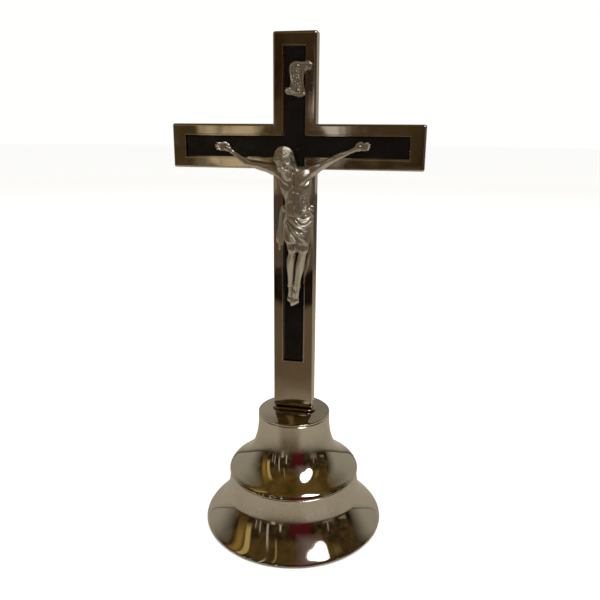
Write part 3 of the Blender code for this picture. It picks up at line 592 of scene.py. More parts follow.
class Clay:
    def __init__(self, low, high, cell):
        self.low = np.array(low, np.float32)
        self.cell = cell
        self.count = np.ceil((np.array(high) - self.low) / cell).astype(int) + 1
        self.field = np.full(self.count, FAR, np.float32)

    def merge(self, low, high, distance, soft, cut=False):
        """Add a shape, or cut it away, with a soft join."""
        margin = soft + 2 * self.cell
        first = np.clip(((low - margin - self.low) / self.cell).astype(int), 0, self.count)
        last = np.clip(((high + margin - self.low) / self.cell).astype(int) + 2, 0, self.count)
        if (last <= first).any():
            return
        axes = [self.low[i] + self.cell * np.arange(first[i], last[i], dtype=np.float32)
                for i in range(3)]
        new = distance(*np.meshgrid(*axes, indexing="ij", sparse=True))
        part = tuple(slice(a, b) for a, b in zip(first, last))
        old = self.field[part]
        if cut:
            join = np.maximum(soft - np.abs(old + new), 0) / soft
            self.field[part] = np.maximum(old, -new) + join * join * soft / 4
        else:
            join = np.maximum(soft - np.abs(old - new), 0) / soft
            self.field[part] = np.minimum(old, new) - join * join * soft / 4

    def stroke(self, points, soft=1.0, steps=5, cut=False, squash=(1, 1, 1)):
        """A round rope of clay along a smooth curve; squash flattens it along an axis."""
        path = smooth_path(points, steps)
        scale = np.array(squash)
        radius = np.maximum(path[:, 3], 0.05)
        low = (path[:, :3] - radius[:, None] * scale).min(0)
        high = (path[:, :3] + radius[:, None] * scale).max(0)

        def distance(x, y, z):
            best = None
            for a, b, ra, rb in zip(path[:-1, :3] / scale, path[1:, :3] / scale, radius, radius[1:]):
                along = b - a
                dx, dy, dz = x / scale[0] - a[0], y / scale[1] - a[1], z / scale[2] - a[2]
                t = np.clip((dx * along[0] + dy * along[1] + dz * along[2])
                            / max(along @ along, 1e-9), 0, 1)
                d = np.sqrt((dx - along[0] * t) ** 2 + (dy - along[1] * t) ** 2
                            + (dz - along[2] * t) ** 2) - (ra + (rb - ra) * t)
                best = d if best is None else np.minimum(best, d)
            return (best * scale.min()).astype(np.float32)
        self.merge(low, high, distance, soft, cut)

    def lump(self, centre, radii, soft=1.0, axes=None, cut=False):
        """An egg of clay, its radii along its own axes."""
        axes = np.eye(3) if axes is None else np.array(axes)
        reach = np.abs(axes.T * radii).sum(1)
        centre = np.array(centre, float)

        def distance(x, y, z):
            dx, dy, dz = x - centre[0], y - centre[1], z - centre[2]
            near = [(dx * a[0] + dy * a[1] + dz * a[2]) / r for a, r in zip(axes, radii)]
            size = np.sqrt(sum(n * n for n in near))
            slope = np.sqrt(sum((n / r) ** 2 for n, r in zip(near, radii))) + 1e-6
            return (size * (size - 1) / slope).astype(np.float32)
        self.merge(centre - reach, centre + reach, distance, soft, cut)

    def soften(self, field, times):
        """Average each point of a field with its neighbours."""
        for _ in range(times):
            for axis in range(3):
                field = (np.roll(field, 1, axis) + 2 * field + np.roll(field, -1, axis)) / 4
        return field

    def sample(self, field, places):
        """Field values between the grid points, places in grid steps."""
        base = np.clip(places.astype(int), 0, np.array(field.shape) - 2)
        part = places - base
        value = 0
        for corner in range(8):
            bits = np.array([corner & 1, corner >> 1 & 1, corner >> 2 & 1])
            weight = np.prod(np.where(bits, part, 1 - part), axis=1)
            value = value + weight * field[tuple((base + bits).T)]
        return value

    def cast(self, name, origin, broad, narrow):
        """Mesh the clay's skin at its origin.

        The attribute "relief" keeps how far each place stands proud or lies hollow, compared with
        the clay averaged over a broad and a narrow area; the cast finish paints shade into the hollows
        from it and paints the raised places lighter.
        """
        grid = openvdb.FloatGrid(FAR)
        grid.copyFromArray(self.field, tolerance=0.0)
        places, threes, fours = grid.convertToPolygons(isovalue=0.0, adaptivity=0.0)
        wide = self.sample(self.soften(self.field, max(2, round(broad / self.cell ** 2))), places)
        fine = self.sample(self.soften(self.field, max(1, round(narrow / self.cell ** 2))), places)
        model = (places * self.cell + self.low) * MM
        world = np.column_stack([origin[0] + model[:, 0], origin[1] - model[:, 1],
                                 origin[2] + model[:, 2]])
        mesh = bpy.data.meshes.new(name)
        mesh.from_pydata(world.tolist(), [], fours.tolist() + threes.tolist())
        relief = mesh.attributes.new("relief", "FLOAT", "POINT")
        height = np.clip(0.5 + wide * 0.9 + fine * 1.6, 0, 1)
        relief.data.foreach_set("value", height.astype(np.float32))
        mesh.update()
        rest()
        piece = bpy.data.objects.new(name, mesh)
        bpy.context.scene.collection.objects.link(piece)
        hold(piece)
        edit()
        bpy.ops.mesh.select_all(action="SELECT")
        bpy.ops.mesh.normals_make_consistent(inside=False)
        bpy.ops.object.mode_set(mode="OBJECT")
        use_modifier("SMOOTH", factor=0.4, iterations=2)
        bpy.ops.object.shade_smooth()
        mesh.materials.append(CAST)
        piece.select_set(False)
        return piece


class HeadAxes:
    """Places on the head: across, out of the face, up, from the middle of the head."""
    def __init__(self):
        self.middle = np.array((-3.4, 10.6, -7.6))
        self.up = np.array((-0.34, 0.30, 0.87))
        self.up /= np.linalg.norm(self.up)
        face = np.array((-0.16, 0.95, -0.22))
        face -= self.up * (face @ self.up)
        self.face = face / np.linalg.norm(face)
        self.across = np.cross(self.face, self.up)
        if self.across[0] < 0:
            self.across = -self.across
        self.axes = [self.across, self.face, self.up]

    def place(self, across, out, up, *radius):
        spot = self.middle + self.across * across + self.face * out + self.up * up
        return (*spot, *radius)

    def path(self, points):
        return [self.place(*p) for p in points]


def model_head(clay):
    head = HeadAxes()

    def lump(place, radii, soft, cut=False):
        clay.lump(head.place(*place), radii, soft, head.axes, cut)

    def stroke(points, soft, cut=False, steps=4):
        clay.stroke(head.path(points), soft, steps, cut)

    def both(points):
        return [points, [(-p[0], *p[1:]) for p in points]]

    lump((0, -0.9, 1.3), (4.7, 5.6, 5.2), 0.5)                     # skull
    lump((0, 1.5, -2.4), (3.7, 3.9, 4.6), 1.2)                     # face and jaw
    lump((0, 4.2, -6.0), (1.5, 1.3, 1.3), 1.2)                     # chin
    lump((0, 4.3, 2.5), (2.9, 1.0, 1.8), 1.2)                      # forehead
    for line in both([(0.3, 5.05, 0.95, 0.42), (1.6, 4.95, 1.15, 0.5), (3.0, 3.9, 0.75, 0.4)]):
        stroke(line, 0.7)                                          # brows
    for side in (-1, 1):
        lump((1.7 * side, 5.6, 0.0), (1.25, 1.0, 0.75), 0.8, cut=True)     # sockets
        lump((1.7 * side, 4.05, -0.1), (1.05, 0.95, 0.7), 0.35)            # closed eyes
        lump((2.55 * side, 3.9, -1.5), (1.3, 1.0, 1.0), 1.2)               # cheekbones
        lump((2.3 * side, 4.6, -3.4), (0.9, 0.8, 1.1), 1.0, cut=True)      # hollow cheeks
    for line in both([(1.1, 5.0, -0.42, 0.09), (1.7, 5.13, -0.56, 0.11), (2.5, 4.6, -0.38, 0.09)]):
        stroke(line, 0.3, cut=True)                               # lashes of the shut eyes
    stroke([(0, 4.9, 0.8, 0.45), (0, 5.7, -0.9, 0.52), (0, 6.45, -2.15, 0.62)], 0.6)   # nose
    lump((0, 6.3, -2.3), (0.62, 0.55, 0.45), 0.4)
    for side in (-1, 1):
        lump((0.62 * side, 5.7, -2.35), (0.42, 0.6, 0.38), 0.35)
    stroke([(-1.15, 5.05, -3.95, 0.28), (0, 5.6, -3.8, 0.36), (1.15, 5.05, -3.95, 0.28)], 0.3)
    stroke([(-0.9, 5.0, -4.5, 0.3), (0, 5.45, -4.6, 0.4), (0.9, 5.0, -4.5, 0.3)], 0.3)
    stroke([(-1.2, 5.35, -4.2, 0.08), (0, 5.98, -4.15, 0.1), (1.2, 5.35, -4.2, 0.08)], 0.3, cut=True)
    for line in both([(0.2, 5.95, -3.2, 0.4), (1.3, 5.35, -3.75, 0.5), (2.35, 4.3, -5.1, 0.42)]):
        stroke(line, 0.35)                                         # moustache
    lump((0, 3.7, -6.8), (2.7, 1.6, 2.9), 1.0)                     # beard
    for i in range(9):
        share = (i - 4) / 4
        wave = 0.3 * sin(5 * i)
        stroke([(3.1 * share, 4.8 - 2.0 * share ** 2, -5.1 + 1.3 * share ** 2, 0.4),
                (2.8 * share + wave, 5.3 - 1.7 * share ** 2, -6.8, 0.46),
                (2.2 * share - wave, 5.4 - 1.2 * share ** 2, -8.3, 0.46),
                (1.4 * share + wave, 5.3 - 0.6 * share ** 2, -9.6, 0.38),
                (0.6 * share, 5.1 - 0.2 * share ** 2, -10.7 + 0.7 * abs(share), 0.24)], 0.16)

    hair_middle, hair_radii = np.array((0, -1.6, 1.9)), np.array((5.1, 5.4, 5.3))
    lump(hair_middle, hair_radii, 0.4)                             # mass of hair
    lump((0, -3.0, -3.2), (4.6, 3.4, 5.2), 1.0)

    def on_hair(way, lift=1.0):
        way = np.array(way, float)
        return hair_middle + hair_radii * way / np.linalg.norm(way) * lift

    for side in (-1, 1):
        lump((3.9 * side, 0.6, -2.4), (1.1, 2.4, 4.4), 0.8)
        for i in range(10):                                        # wavy locks from the parting
            back = i / 9
            rise = radians(48 + 105 * back)
            start = np.array((0.06 * side, cos(rise), sin(rise)))
            swing = radians(38 - 122 * back)
            end = np.array((side * cos(swing), sin(swing), -0.45))
            lock = []
            for k in range(5):
                share = k / 4
                sway = 0.09 * sin(2.6 * k + 1.7 * i) * (k > 0)
                way = start / np.linalg.norm(start) * (1 - share) + end / np.linalg.norm(end) * share
                way += np.array((0, sway, 0))
                lock.append((*on_hair(way, 1.03), 0.42 + 0.14 * share))
            for k, drop in enumerate((2.6, 5.0, 7.2)):
                sway = 0.32 * sin(1.9 * k + 1.3 * i)
                last = lock[4]
                lock.append((last[0] * (1 - 0.05 * k) - 0.25 * side + sway * 0.5,
                             last[1] * (1 - 0.1 * k) + sway - 0.3 * k, last[2] - drop, 0.6 - 0.1 * k))
            stroke(lock, 0.28, steps=3)
    turns = 15
    for phase in (0, pi):                                          # twisted band
        ring = []
        for i in range(turns * 8 + 1):
            t = 2 * pi * i / (turns * 8)
            off = 0.42 * cos(turns * t + phase)
            ring.append((cos(t) * (5.15 + off), -1.35 + sin(t) * (5.55 + off),
                         2.9 + 0.6 * sin(t) + 0.42 * sin(turns * t + phase), 0.44))
        stroke(ring, 0.25, steps=1)


def model_arm(clay, side, shoulder, elbow, wrist, palm, tip):
    """Deltoid, upper arm, forearm and an open hand with curled fingers."""
    def mix(a, b, share, forward=0.0, up=0.0, radius=1.0):
        spot = np.array(a) * (1 - share) + np.array(b) * share
        return (spot[0], spot[1] + forward, spot[2] + up, radius)

    s, e, w, p, t = (np.array(v, float) for v in (shoulder, elbow, wrist, palm, tip))
    clay.stroke([mix(s, e, 0, 0, 0, 2.9), mix(s, e, 0.4, 0, 0, 2.15), mix(s, e, 1, 0, 0, 1.6)], 1.5)
    clay.stroke([mix(e, w, 0, 0, 0, 1.55), mix(e, w, 0.35, 0, 0, 1.5), mix(e, w, 1, 0, 0, 1.05)], 0.8)
    clay.stroke([mix(s, e, -0.10, 0.6, 0.9, 1.6), mix(s, e, 0.15, 0.7, 0.7, 2.0),
                 mix(s, e, 0.42, 0.5, 0.3, 1.0)], 0.9)                              # deltoid
    clay.stroke([mix(s, e, 0.22, 0.9, 0.2, 0.9), mix(s, e, 0.52, 1.0, 0.5, 1.5),
                 mix(s, e, 0.78, 0.7, 0.3, 1.1), mix(s, e, 0.98, 0.5, 0.1, 0.5)], 0.5)  # biceps
    clay.stroke([mix(s, e, 0.15, -0.2, -1.0, 1.2), mix(s, e, 0.5, -0.1, -0.95, 1.35),
                 mix(s, e, 0.88, 0.0, -0.5, 0.7)], 0.6)                             # triceps
    clay.stroke([mix(s, e, 0.85, 0.3, 0.5, 0.7), mix(e, w, 0.22, 0.4, 0.65, 1.15),
                 mix(e, w, 0.6, 0.2, 0.35, 0.8), mix(e, w, 0.9, 0, 0.1, 0.6)], 0.45)
    clay.stroke([mix(s, e, 0.95, 0.2, -0.5, 0.7), mix(e, w, 0.3, 0.3, -0.6, 1.1),
                 mix(e, w, 0.65, 0.2, -0.3, 0.75), mix(e, w, 0.92, 0, 0, 0.6)], 0.45)
    clay.stroke([mix(e, w, 0.45, 0.95, 0, 0.28), mix(e, w, 0.95, 0.85, 0, 0.28)], 0.35)  # tendon
    along = (t - p) / np.linalg.norm(t - p)
    over = np.array((-along[2], 0, along[0])) * side               # towards the thumb
    palm_axes = [along, np.array((0, 1, 0)), over]
    clay.stroke([(*w, 1.2), (*(w * 0.5 + p * 0.5), 1.3), (*p, 1.05)], 0.9)       # wrist
    clay.lump(p, (2.7, 1.0, 2.1), 0.8, palm_axes)
    clay.lump(p + over * 1.15 - along * 0.7 + (0, 0.35, 0), (1.6, 0.85, 0.9), 0.4, palm_axes)
    clay.lump(p - over * 1.15 - along * 0.6 + (0, 0.3, 0), (1.7, 0.8, 0.8), 0.4, palm_axes)
    for i in range(4):
        spread_out = 1.55 - 1.02 * i
        base = p + along * 1.8 + over * spread_out
        reach = (4.2, 5.0, 4.7, 3.8)[i]
        knuckle = base + along * reach * 0.5 + over * (0.12 * spread_out) + (0, 0.35, 0)
        end = base + along * reach * 0.86 + over * (0.12 * spread_out) + (0, 1.5, 0)
        last = base + along * reach * 0.72 + over * (0.1 * spread_out) + (0, 2.3, 0)
        clay.stroke([(*base, 0.64), (*knuckle, 0.62), (*end, 0.55), (*last, 0.46)], 0.2)
    thumb = p - along * 1.1 + over * 1.5
    clay.stroke([(*(thumb + (0, 0.2, 0)), 0.8), (*(thumb + along * 1.6 + over * 1.0 + (0, 0.8, 0)), 0.66),
                 (*(thumb + along * 3.1 + over * 1.0 + (0, 1.6, 0)), 0.5)], 0.35)


def model_torso(clay):
    def stroke(points, soft=1.0, cut=False, squash=(1, 1, 1), steps=5):
        clay.stroke(points, soft, steps, cut, squash)

    stroke([(-3.0, 6.6, -15.5, 5.0), (-1.8, 7.2, -21.0, 5.0), (0.4, 7.4, -27.5, 4.3),
            (1.4, 7.4, -34.0, 4.2), (0.8, 7.6, -41.0, 4.8)], 2.0)
    stroke([(6.4, 6.6, -15.5, 5.0), (6.6, 7.2, -21.0, 4.9), (6.2, 7.4, -27.5, 4.4),
            (6.4, 7.4, -34.0, 4.2), (7.6, 7.6, -41.0, 5.2)], 2.0)
    stroke([(2.2, 8.0, -17.0, 4.2), (2.5, 8.7, -24.0, 4.3), (3.4, 8.6, -31.0, 4.0),
            (3.9, 8.6, -38.0, 4.6)], 3.0)
    stroke([(-11.0, 6.3, -12.3, 2.7), (-5.0, 6.4, -14.2, 3.4), (1.6, 6.6, -14.8, 3.6),
            (8.0, 6.4, -14.2, 3.4), (12.4, 6.3, -12.5, 2.7)], 1.5)              # shoulder line
    stroke([(1.8, 6.2, -15.0, 3.4), (0.6, 7.6, -11.5, 2.9), (-1.4, 8.6, -8.8, 2.9)], 1.5)   # neck
    stroke([(-9.5, 7.6, -12.9, 1.4), (-5.6, 9.6, -15.0, 1.9), (-2.1, 10.6, -17.5, 2.3),
            (-1.2, 10.6, -19.0, 1.9)], 1.1, squash=(1, 0.8, 1.15))              # pectorals
    stroke([(11.2, 7.6, -13.0, 1.4), (8.8, 9.7, -15.2, 2.0), (6.5, 10.8, -17.5, 2.4),
            (5.8, 10.7, -19.0, 2.0)], 1.1, squash=(1, 0.8, 1.15))
    stroke([(-6.4, 9.6, -17.6, 0.2), (-4.0, 11.8, -20.4, 0.25), (-0.8, 13.1, -21.4, 0.25),
            (1.7, 13.4, -20.2, 0.2)], 1.8, cut=True)                            # under the chest
    stroke([(10.6, 9.8, -17.8, 0.2), (8.8, 11.9, -20.3, 0.25), (5.4, 13.3, -21.4, 0.25),
            (2.9, 13.5, -20.2, 0.2)], 1.8, cut=True)
    stroke([(2.2, 12.0, -15.0, 0.35), (2.3, 12.7, -20.0, 0.4), (2.7, 13.0, -24.0, 0.3)], 0.9, cut=True)
    stroke([(-8.2, 8.2, -11.2, 0.6), (-4.0, 9.7, -12.6, 0.65), (0.2, 10.5, -14.1, 0.6)], 0.7)
    stroke([(10.6, 8.2, -11.6, 0.65), (7.6, 9.9, -12.9, 0.7), (4.4, 10.7, -14.2, 0.65)], 0.7)
    stroke([(1.9, 9.2, -8.6, 0.9), (3.0, 9.8, -11.4, 0.85), (3.8, 10.5, -14.0, 0.6)], 0.6)
    for i in range(5):                                                          # ribs
        z = -19.6 - 2.15 * i
        stroke([(-6.5 + 0.6 * i, 7.2, z + 1.3, 0.3), (-4.9 + 0.65 * i, 9.9, z - 0.4, 0.4),
                (-2.6 + 0.55 * i, 11.2, z - 1.7, 0.25)], 1.1)
        stroke([(11.0 - 0.2 * i, 7.2, z + 1.3, 0.3), (9.9 - 0.25 * i, 9.9, z - 0.4, 0.4),
                (7.8 - 0.3 * i, 11.3, z - 1.7, 0.25)], 1.1)
    stroke([(2.5, 13.4, -22.6, 0.3), (0.0, 12.9, -25.0, 0.4), (-2.0, 11.6, -29.0, 0.3)], 1.4, cut=True)
    stroke([(2.9, 13.4, -22.6, 0.3), (5.8, 12.9, -25.0, 0.4), (8.2, 11.4, -29.0, 0.3)], 1.4, cut=True)
    for across in (1.2, 5.0):                                                   # belly
        for z, radius in ((-25.8, 1.5), (-28.8, 1.55), (-32.2, 1.9)):
            clay.lump((across + (z + 25) * -0.06, 11.2, z), (1.75, 1.25, radius), 1.0)
    stroke([(2.9, 13.5, -23.5, 0.22), (3.2, 13.3, -29, 0.25), (3.6, 13.2, -35, 0.25)], 1.2, cut=True)
    clay.lump((3.5, 12.9, -32.6), (0.42, 0.7, 0.55), 0.5, cut=True)             # navel
    stroke([(-2.4, 8.6, -31.5, 0.5), (-1.2, 10.2, -34, 1.0), (0.6, 11.2, -38, 1.0)], 1.8)
    stroke([(9.8, 8.6, -31.5, 0.5), (8.4, 10.2, -34, 1.0), (6.6, 11.2, -38, 1.0)], 1.8)


def model_leg(clay, hip, knee, calf, ankle, side):
    """Thigh, kneecap, shin with its calf and ankle bones."""
    h, k, c, a = (np.array(v, float) for v in (hip, knee, calf, ankle))
    clay.stroke([(*h, 4.9), (*(h * 0.45 + k * 0.55 + (0, 0.6, 0)), 4.1), (*k, 3.0)], 1.5)
    clay.stroke([(*k, 2.7), (*(k * 0.75 + c * 0.25 + (0, -0.2, 0)), 2.3), (*c, 2.35),
                 (*(c * 0.4 + a * 0.6), 1.9), (*a, 1.75)], 1.0)
    clay.stroke([(*(k + (0.5 * side, -1.6, -1.5)), 1.2), (*(c + (0.9 * side, -0.9, 2.2)), 1.9),
                 (*(c + (0.6 * side, -0.6, -2.8)), 1.3), (*(a + (0, -0.6, 3)), 0.7)], 0.9)   # calf
    clay.lump(k + (0.1, 1.9, -0.6), (1.65, 1.0, 1.75), 1.2)                     # kneecap
    clay.stroke([(*(k + (-1.4, 1.6, 0.9)), 0.5), (*(k + (0, 2.2, 1.9)), 0.6),
                 (*(k + (1.4, 1.6, 0.9)), 0.5)], 0.7)
    clay.lump(k + (0.1, 1.75, -3.1), (0.8, 0.7, 0.9), 0.7)
    clay.stroke([(*(k + (0.1, 1.5, -3.4)), 0.6), (*(c + (0.0, 1.9, 0)), 0.6),
                 (*(a + (0.0, 1.1, 3)), 0.45), (*(a + (0, 1.0, 0.6)), 0.4)], 0.7)            # shin
    for out, size in ((-1, 0.8), (1, 0.9)):
        clay.lump(a + (1.3 * out, 0.1, -0.6 + 0.3 * out), (0.55, 0.7, size), 1.4)


def model_foot(clay, ankle, middle, ball, inner):
    """A foot pointing down: heel, arch, tendons and five toes; inner is the big toe's side."""
    a, m, b = (np.array(v, float) for v in (ankle, middle, ball))
    clay.stroke([(*a, 1.7), (*m, 2.0), (*b, 2.25)], 1.0, squash=(1.0, 0.8, 1.0))
    clay.stroke([(*(a + (0, -0.9, -0.4)), 1.4), (*(a + (0, -2.1, -2.2)), 1.3)], 0.9)
    clay.lump(b + (1.0 * inner, -0.1, 0.3), (1.1, 1.2, 1.3), 0.7)
    for i in range(5):
        across = (1.55 - 0.86 * i) * inner
        length = (4.7, 4.5, 4.1, 3.6, 3.0)[i]
        radius = (0.84, 0.6, 0.56, 0.52, 0.48)[i]
        root = b + (across, 0.6 - 0.12 * i, -0.4)
        clay.stroke([(*root, radius), (*(root + (0.08 * across, 0.9, -length * 0.55)), radius * 0.9),
                     (*(root + (0.08 * across, 0.2, -length)), radius * 1.05)], 0.2)
        clay.stroke([(*(m + (across * 0.35, 1.4, 0.5)), 0.22),
                     (*(b + (across * 0.85, 1.5 - 0.2 * i, 0.2)), 0.3)], 0.4)


class ClothShape:
    """The cloth round the hips: ellipses from the waist down to the hem."""
    levels = np.array([-34.5, -37.5, -41.5, -46.0, -50.0, -54.5])
    middle_x = np.array([4.2, 4.7, 4.6, 4.0, 3.6, 3.5])
    middle_f = np.array([7.9, 8.2, 8.6, 9.6, 10.6, 11.0])
    half_x = np.array([6.6, 7.4, 7.6, 7.1, 6.8, 6.8])
    half_f = np.array([4.7, 5.2, 6.0, 6.5, 6.3, 6.2])

    def at(self, z):
        return [np.interp(z, self.levels[::-1], v[::-1]) for v in
                (self.middle_x, self.middle_f, self.half_x, self.half_f)]

    def front(self, x, z, lift=0.0):
        """The place on the cloth's surface in front of (x, z), wrapped round at the sides."""
        mx, mf, hx, hf = self.at(z)
        share = (x - mx) / hx
        if abs(share) > 0.96:
            turn = (abs(share) - 0.96) * 2.2 + 1.287
            return (mx + hx * sin(turn) * (1 if share > 0 else -1), mf + hf * cos(turn) + lift, z)
        return (x, mf + (hf + lift) * (1 - share ** 2) ** 0.5, z)

    def hem(self, x):
        """Height of the hem: level on the right, higher towards the left."""
        return -52.6 + 0.01575 * np.minimum(x - 6.5, 0) ** 2

    def body(self, grow, low_cut):
        def distance(x, y, z):
            mx, mf, hx, hf = self.at(z)
            hx, hf = hx + grow, hf + grow
            ring = np.sqrt(((x - mx) / hx) ** 2 + ((y - mf) / hf) ** 2)
            side = (ring - 1) * np.minimum(hx, hf)
            return np.maximum(np.maximum(side, z + 34.5), low_cut(x) - z).astype(np.float32)
        return distance


def model_cloth(clay):
    cloth = ClothShape()
    low, high = np.array((-6.0, 0.5, -55.0)), np.array((14.0, 19.0, -34.0))
    clay.merge(low, high, cloth.body(0.0, cloth.hem), 0.8)
    clay.merge(np.array((-6.0, 0.5, -56.0)), np.array((14.0, 19.0, -48.5)),
               lambda x, y, z: np.maximum(cloth.body(-0.85, lambda v: np.full_like(v, -60.0))(x, y, z),
                                          z + 49.5).astype(np.float32), 0.4, cut=True)

    def fold(points, soft=0.8, cut=False):
        clay.stroke([(*cloth.front(x, z, lift), r) for x, z, lift, r in points], soft, 4, cut)

    ridges = [
        [(-2.7, -37.4, 0.0, 0.6), (0.2, -40.2, 0.15, 0.85), (4.4, -43.2, 0.25, 0.95),
         (8.4, -44.9, 0.2, 0.95), (11.4, -44.6, 0.0, 0.5)],
        [(-2.9, -39.2, 0.0, 0.5), (0.4, -42.8, 0.1, 0.7), (4.6, -46.2, 0.25, 0.95),
         (8.0, -49.6, 0.25, 1.05), (9.8, -52.2, 0.1, 0.8)],
        [(-2.9, -40.8, 0.0, 0.5), (-1.2, -44.0, 0.15, 0.9), (1.6, -47.8, 0.3, 1.15),
         (4.3, -51.4, 0.15, 1.0)],
        [(-3.1, -44.0, 0.0, 0.5), (-2.4, -47.8, 0.1, 0.8), (-1.2, -51.0, 0.1, 0.7)],
        [(4.8, -38.8, 0.1, 0.6), (7.4, -40.8, 0.25, 0.85), (10.2, -40.4, 0.15, 0.85),
         (12.0, -38.0, 0.0, 0.5)],
        [(3.4, -39.6, 0.1, 0.4), (6.8, -42.6, 0.1, 0.6), (10.2, -42.8, 0.1, 0.7),
         (12.2, -40.4, 0.0, 0.5)],
    ]
    valleys = [
        [(-2.2, -38.6, 0.4, 0.3), (1.2, -42.0, 0.45, 0.5), (5.6, -45.0, 0.45, 0.6),
         (10.4, -46.8, 0.3, 0.4)],
        [(-2.8, -40.2, 0.4, 0.3), (0.2, -44.4, 0.45, 0.5), (3.4, -48.2, 0.45, 0.55),
         (6.2, -52.4, 0.3, 0.5)],
        [(-3.0, -43.0, 0.3, 0.3), (-1.6, -47.2, 0.4, 0.5), (0.8, -51.8, 0.3, 0.4)],
        [(4.8, -39.9, 0.4, 0.3), (7.6, -41.9, 0.45, 0.4), (10.8, -41.5, 0.35, 0.35),
         (12.4, -39.2, 0.2, 0.3)],
    ]
    for line in ridges:
        fold(line, 0.9)
    for line in valleys:
        fold(line, 0.7, cut=True)
    for side in (-1, 1):                                          # side folds that run to the back
        for i in range(4):
            z = -39.5 - 3.2 * i
            mx, mf, hx, hf = cloth.at(z)
            clay.stroke([(mx + side * hx * 0.93, mf + hf * 0.3, z, 0.5),
                         (mx + side * hx * 0.99, mf - hf * 0.25, z + 1.4, 0.75),
                         (mx + side * hx * 0.72, mf - hf * 0.75, z + 2.8, 0.5)], 0.8)
    roll = [(-2.6, -34.9), (-1.4, -35.9), (1.6, -36.9), (4.8, -37.2), (7.6, -36.4), (9.8, -35.2),
            (11.6, -34.6)]
    for phase in (0, pi):                                         # rolled waistband, twisted
        rope = []
        for i, (x, f, z) in enumerate(smooth_path([cloth.front(x, z, 0.35) for x, z in roll], 6)):
            rope.append((x, f + 0.32 * sin(0.62 * i + phase), z + 0.42 * cos(0.62 * i + phase), 0.62))
        clay.stroke(rope, 0.4, steps=1)
    mx, mf, hx, hf = cloth.at(-34.8)
    for side in (-1, 1):                                          # its ends, round the hips
        clay.stroke([(mx + side * hx, mf + 0.5, -34.8, 0.95), (mx + side * hx, mf - 2.0, -34.5, 0.95),
                     (mx + side * hx * 0.75, mf - 4.0, -34.4, 0.9)], 0.5)
    knot = np.array(cloth.front(8.6, -36.2, 0.7))                 # knot on the hip
    clay.lump(knot, (1.5, 1.1, 1.3), 0.6)
    clay.stroke([(*(knot + (-1.4, 0.1, 0.3)), 0.6), (*(knot + (-0.3, 0.9, 1.1)), 0.75),
                 (*(knot + (1.2, 0.4, 0.5)), 0.6)], 0.3)
    clay.stroke([(*(knot + (-0.9, 0.5, -0.6)), 0.6), (*(knot + (0.5, 0.9, -1.2)), 0.7),
                 (*(knot + (1.5, 0.2, -0.4)), 0.6)], 0.3)
    clay.stroke([(*(knot + (0.6, -0.1, 0.6)), 0.7), (*(knot + (2.3, -0.5, 2.0)), 0.85),
                 (*(knot + (3.1, -1.4, 3.6)), 0.4)], 0.4, squash=(1, 0.7, 1))
    tail = [
        [(-4.9, 6.4, -33.9, 1.3), (-6.2, 5.6, -38.5, 1.2), (-7.4, 5.0, -46, 1.05),
         (-8.7, 4.6, -51.5, 0.9), (-8.8, 4.4, -54.4, 0.5)],
        [(-4.0, 7.3, -33.6, 1.5), (-5.2, 6.8, -38.5, 1.35), (-6.2, 5.9, -46, 1.2),
         (-7.1, 5.2, -53, 1.1), (-7.3, 4.9, -58.2, 0.7)],
        [(-3.0, 6.6, -34.2, 1.2), (-4.2, 6.0, -38.5, 1.1), (-4.9, 5.2, -46, 0.95),
         (-5.5, 4.7, -52, 0.85), (-5.7, 4.5, -55.6, 0.5)],
    ]
    for line in tail:
        clay.stroke(line, 0.45, squash=(1, 0.9, 1))
    clay.stroke([(-3.4, 7.4, -35.2, 1.2), (-4.2, 7.6, -33.8, 1.3), (-5.0, 7.0, -34.8, 1.1)], 0.4)


def seat_nail(clay, node):
    """Clear the clay in front of a nail's head."""
    low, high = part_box(node)
    centre = (low + high) / 2
    across = centre.x / MM
    up = (centre.z - cross_z) / MM
    under_head = (figure_y - low.y - NAIL_HEAD - GAP) / MM
    clay.stroke([(across, under_head + 1.2, up, 1.3), (across, under_head + 4.5, up, 1.3)], 0.15,
                steps=1, cut=True)


def make_corpus():
    clay = Clay((-48.5, -0.2, -94.5), (46.0, 20.0, 4.0), CLAY_CELL)
    model_torso(clay)
    model_arm(clay, -1, (-11.0, 6.4, -12.2), (-26.4, 4.5, -9.3), (-36.2, 2.7, -2.9),
              (-39.5, 2.1, -0.8), (-45.0, 2.5, 0.1))
    model_arm(clay, 1, (12.4, 6.4, -12.4), (24.6, 4.6, -5.6), (33.6, 2.7, -1.6),
              (37.2, 2.1, 0.0), (42.4, 2.5, 0.7))
    model_cloth(clay)
    model_leg(clay, (0.6, 8.0, -43), (2.3, 12.6, -56.0), (0.5, 9.7, -66.0), (-0.3, 5.6, -79.0), -1)
    model_leg(clay, (7.2, 8.0, -43), (8.1, 12.2, -56.2), (5.7, 9.6, -66.8), (3.6, 7.4, -79.0), 1)
    model_foot(clay, (-0.4, 4.7, -80.3), (-0.3, 3.8, -83.6), (-0.5, 2.9, -86.2), 1)
    model_foot(clay, (3.5, 6.9, -80.2), (2.8, 6.5, -83.4), (2.1, 5.4, -86.4), -1)
    model_head(clay)
    for node in ("hand_nail_left", "hand_nail_right", "foot_nail"):
        seat_nail(clay, node)
    piece = clay.cast("corpus_cast", (0, figure_y, cross_z), broad=0.5, narrow=0.12)
    return stands_for(piece, "corpus")


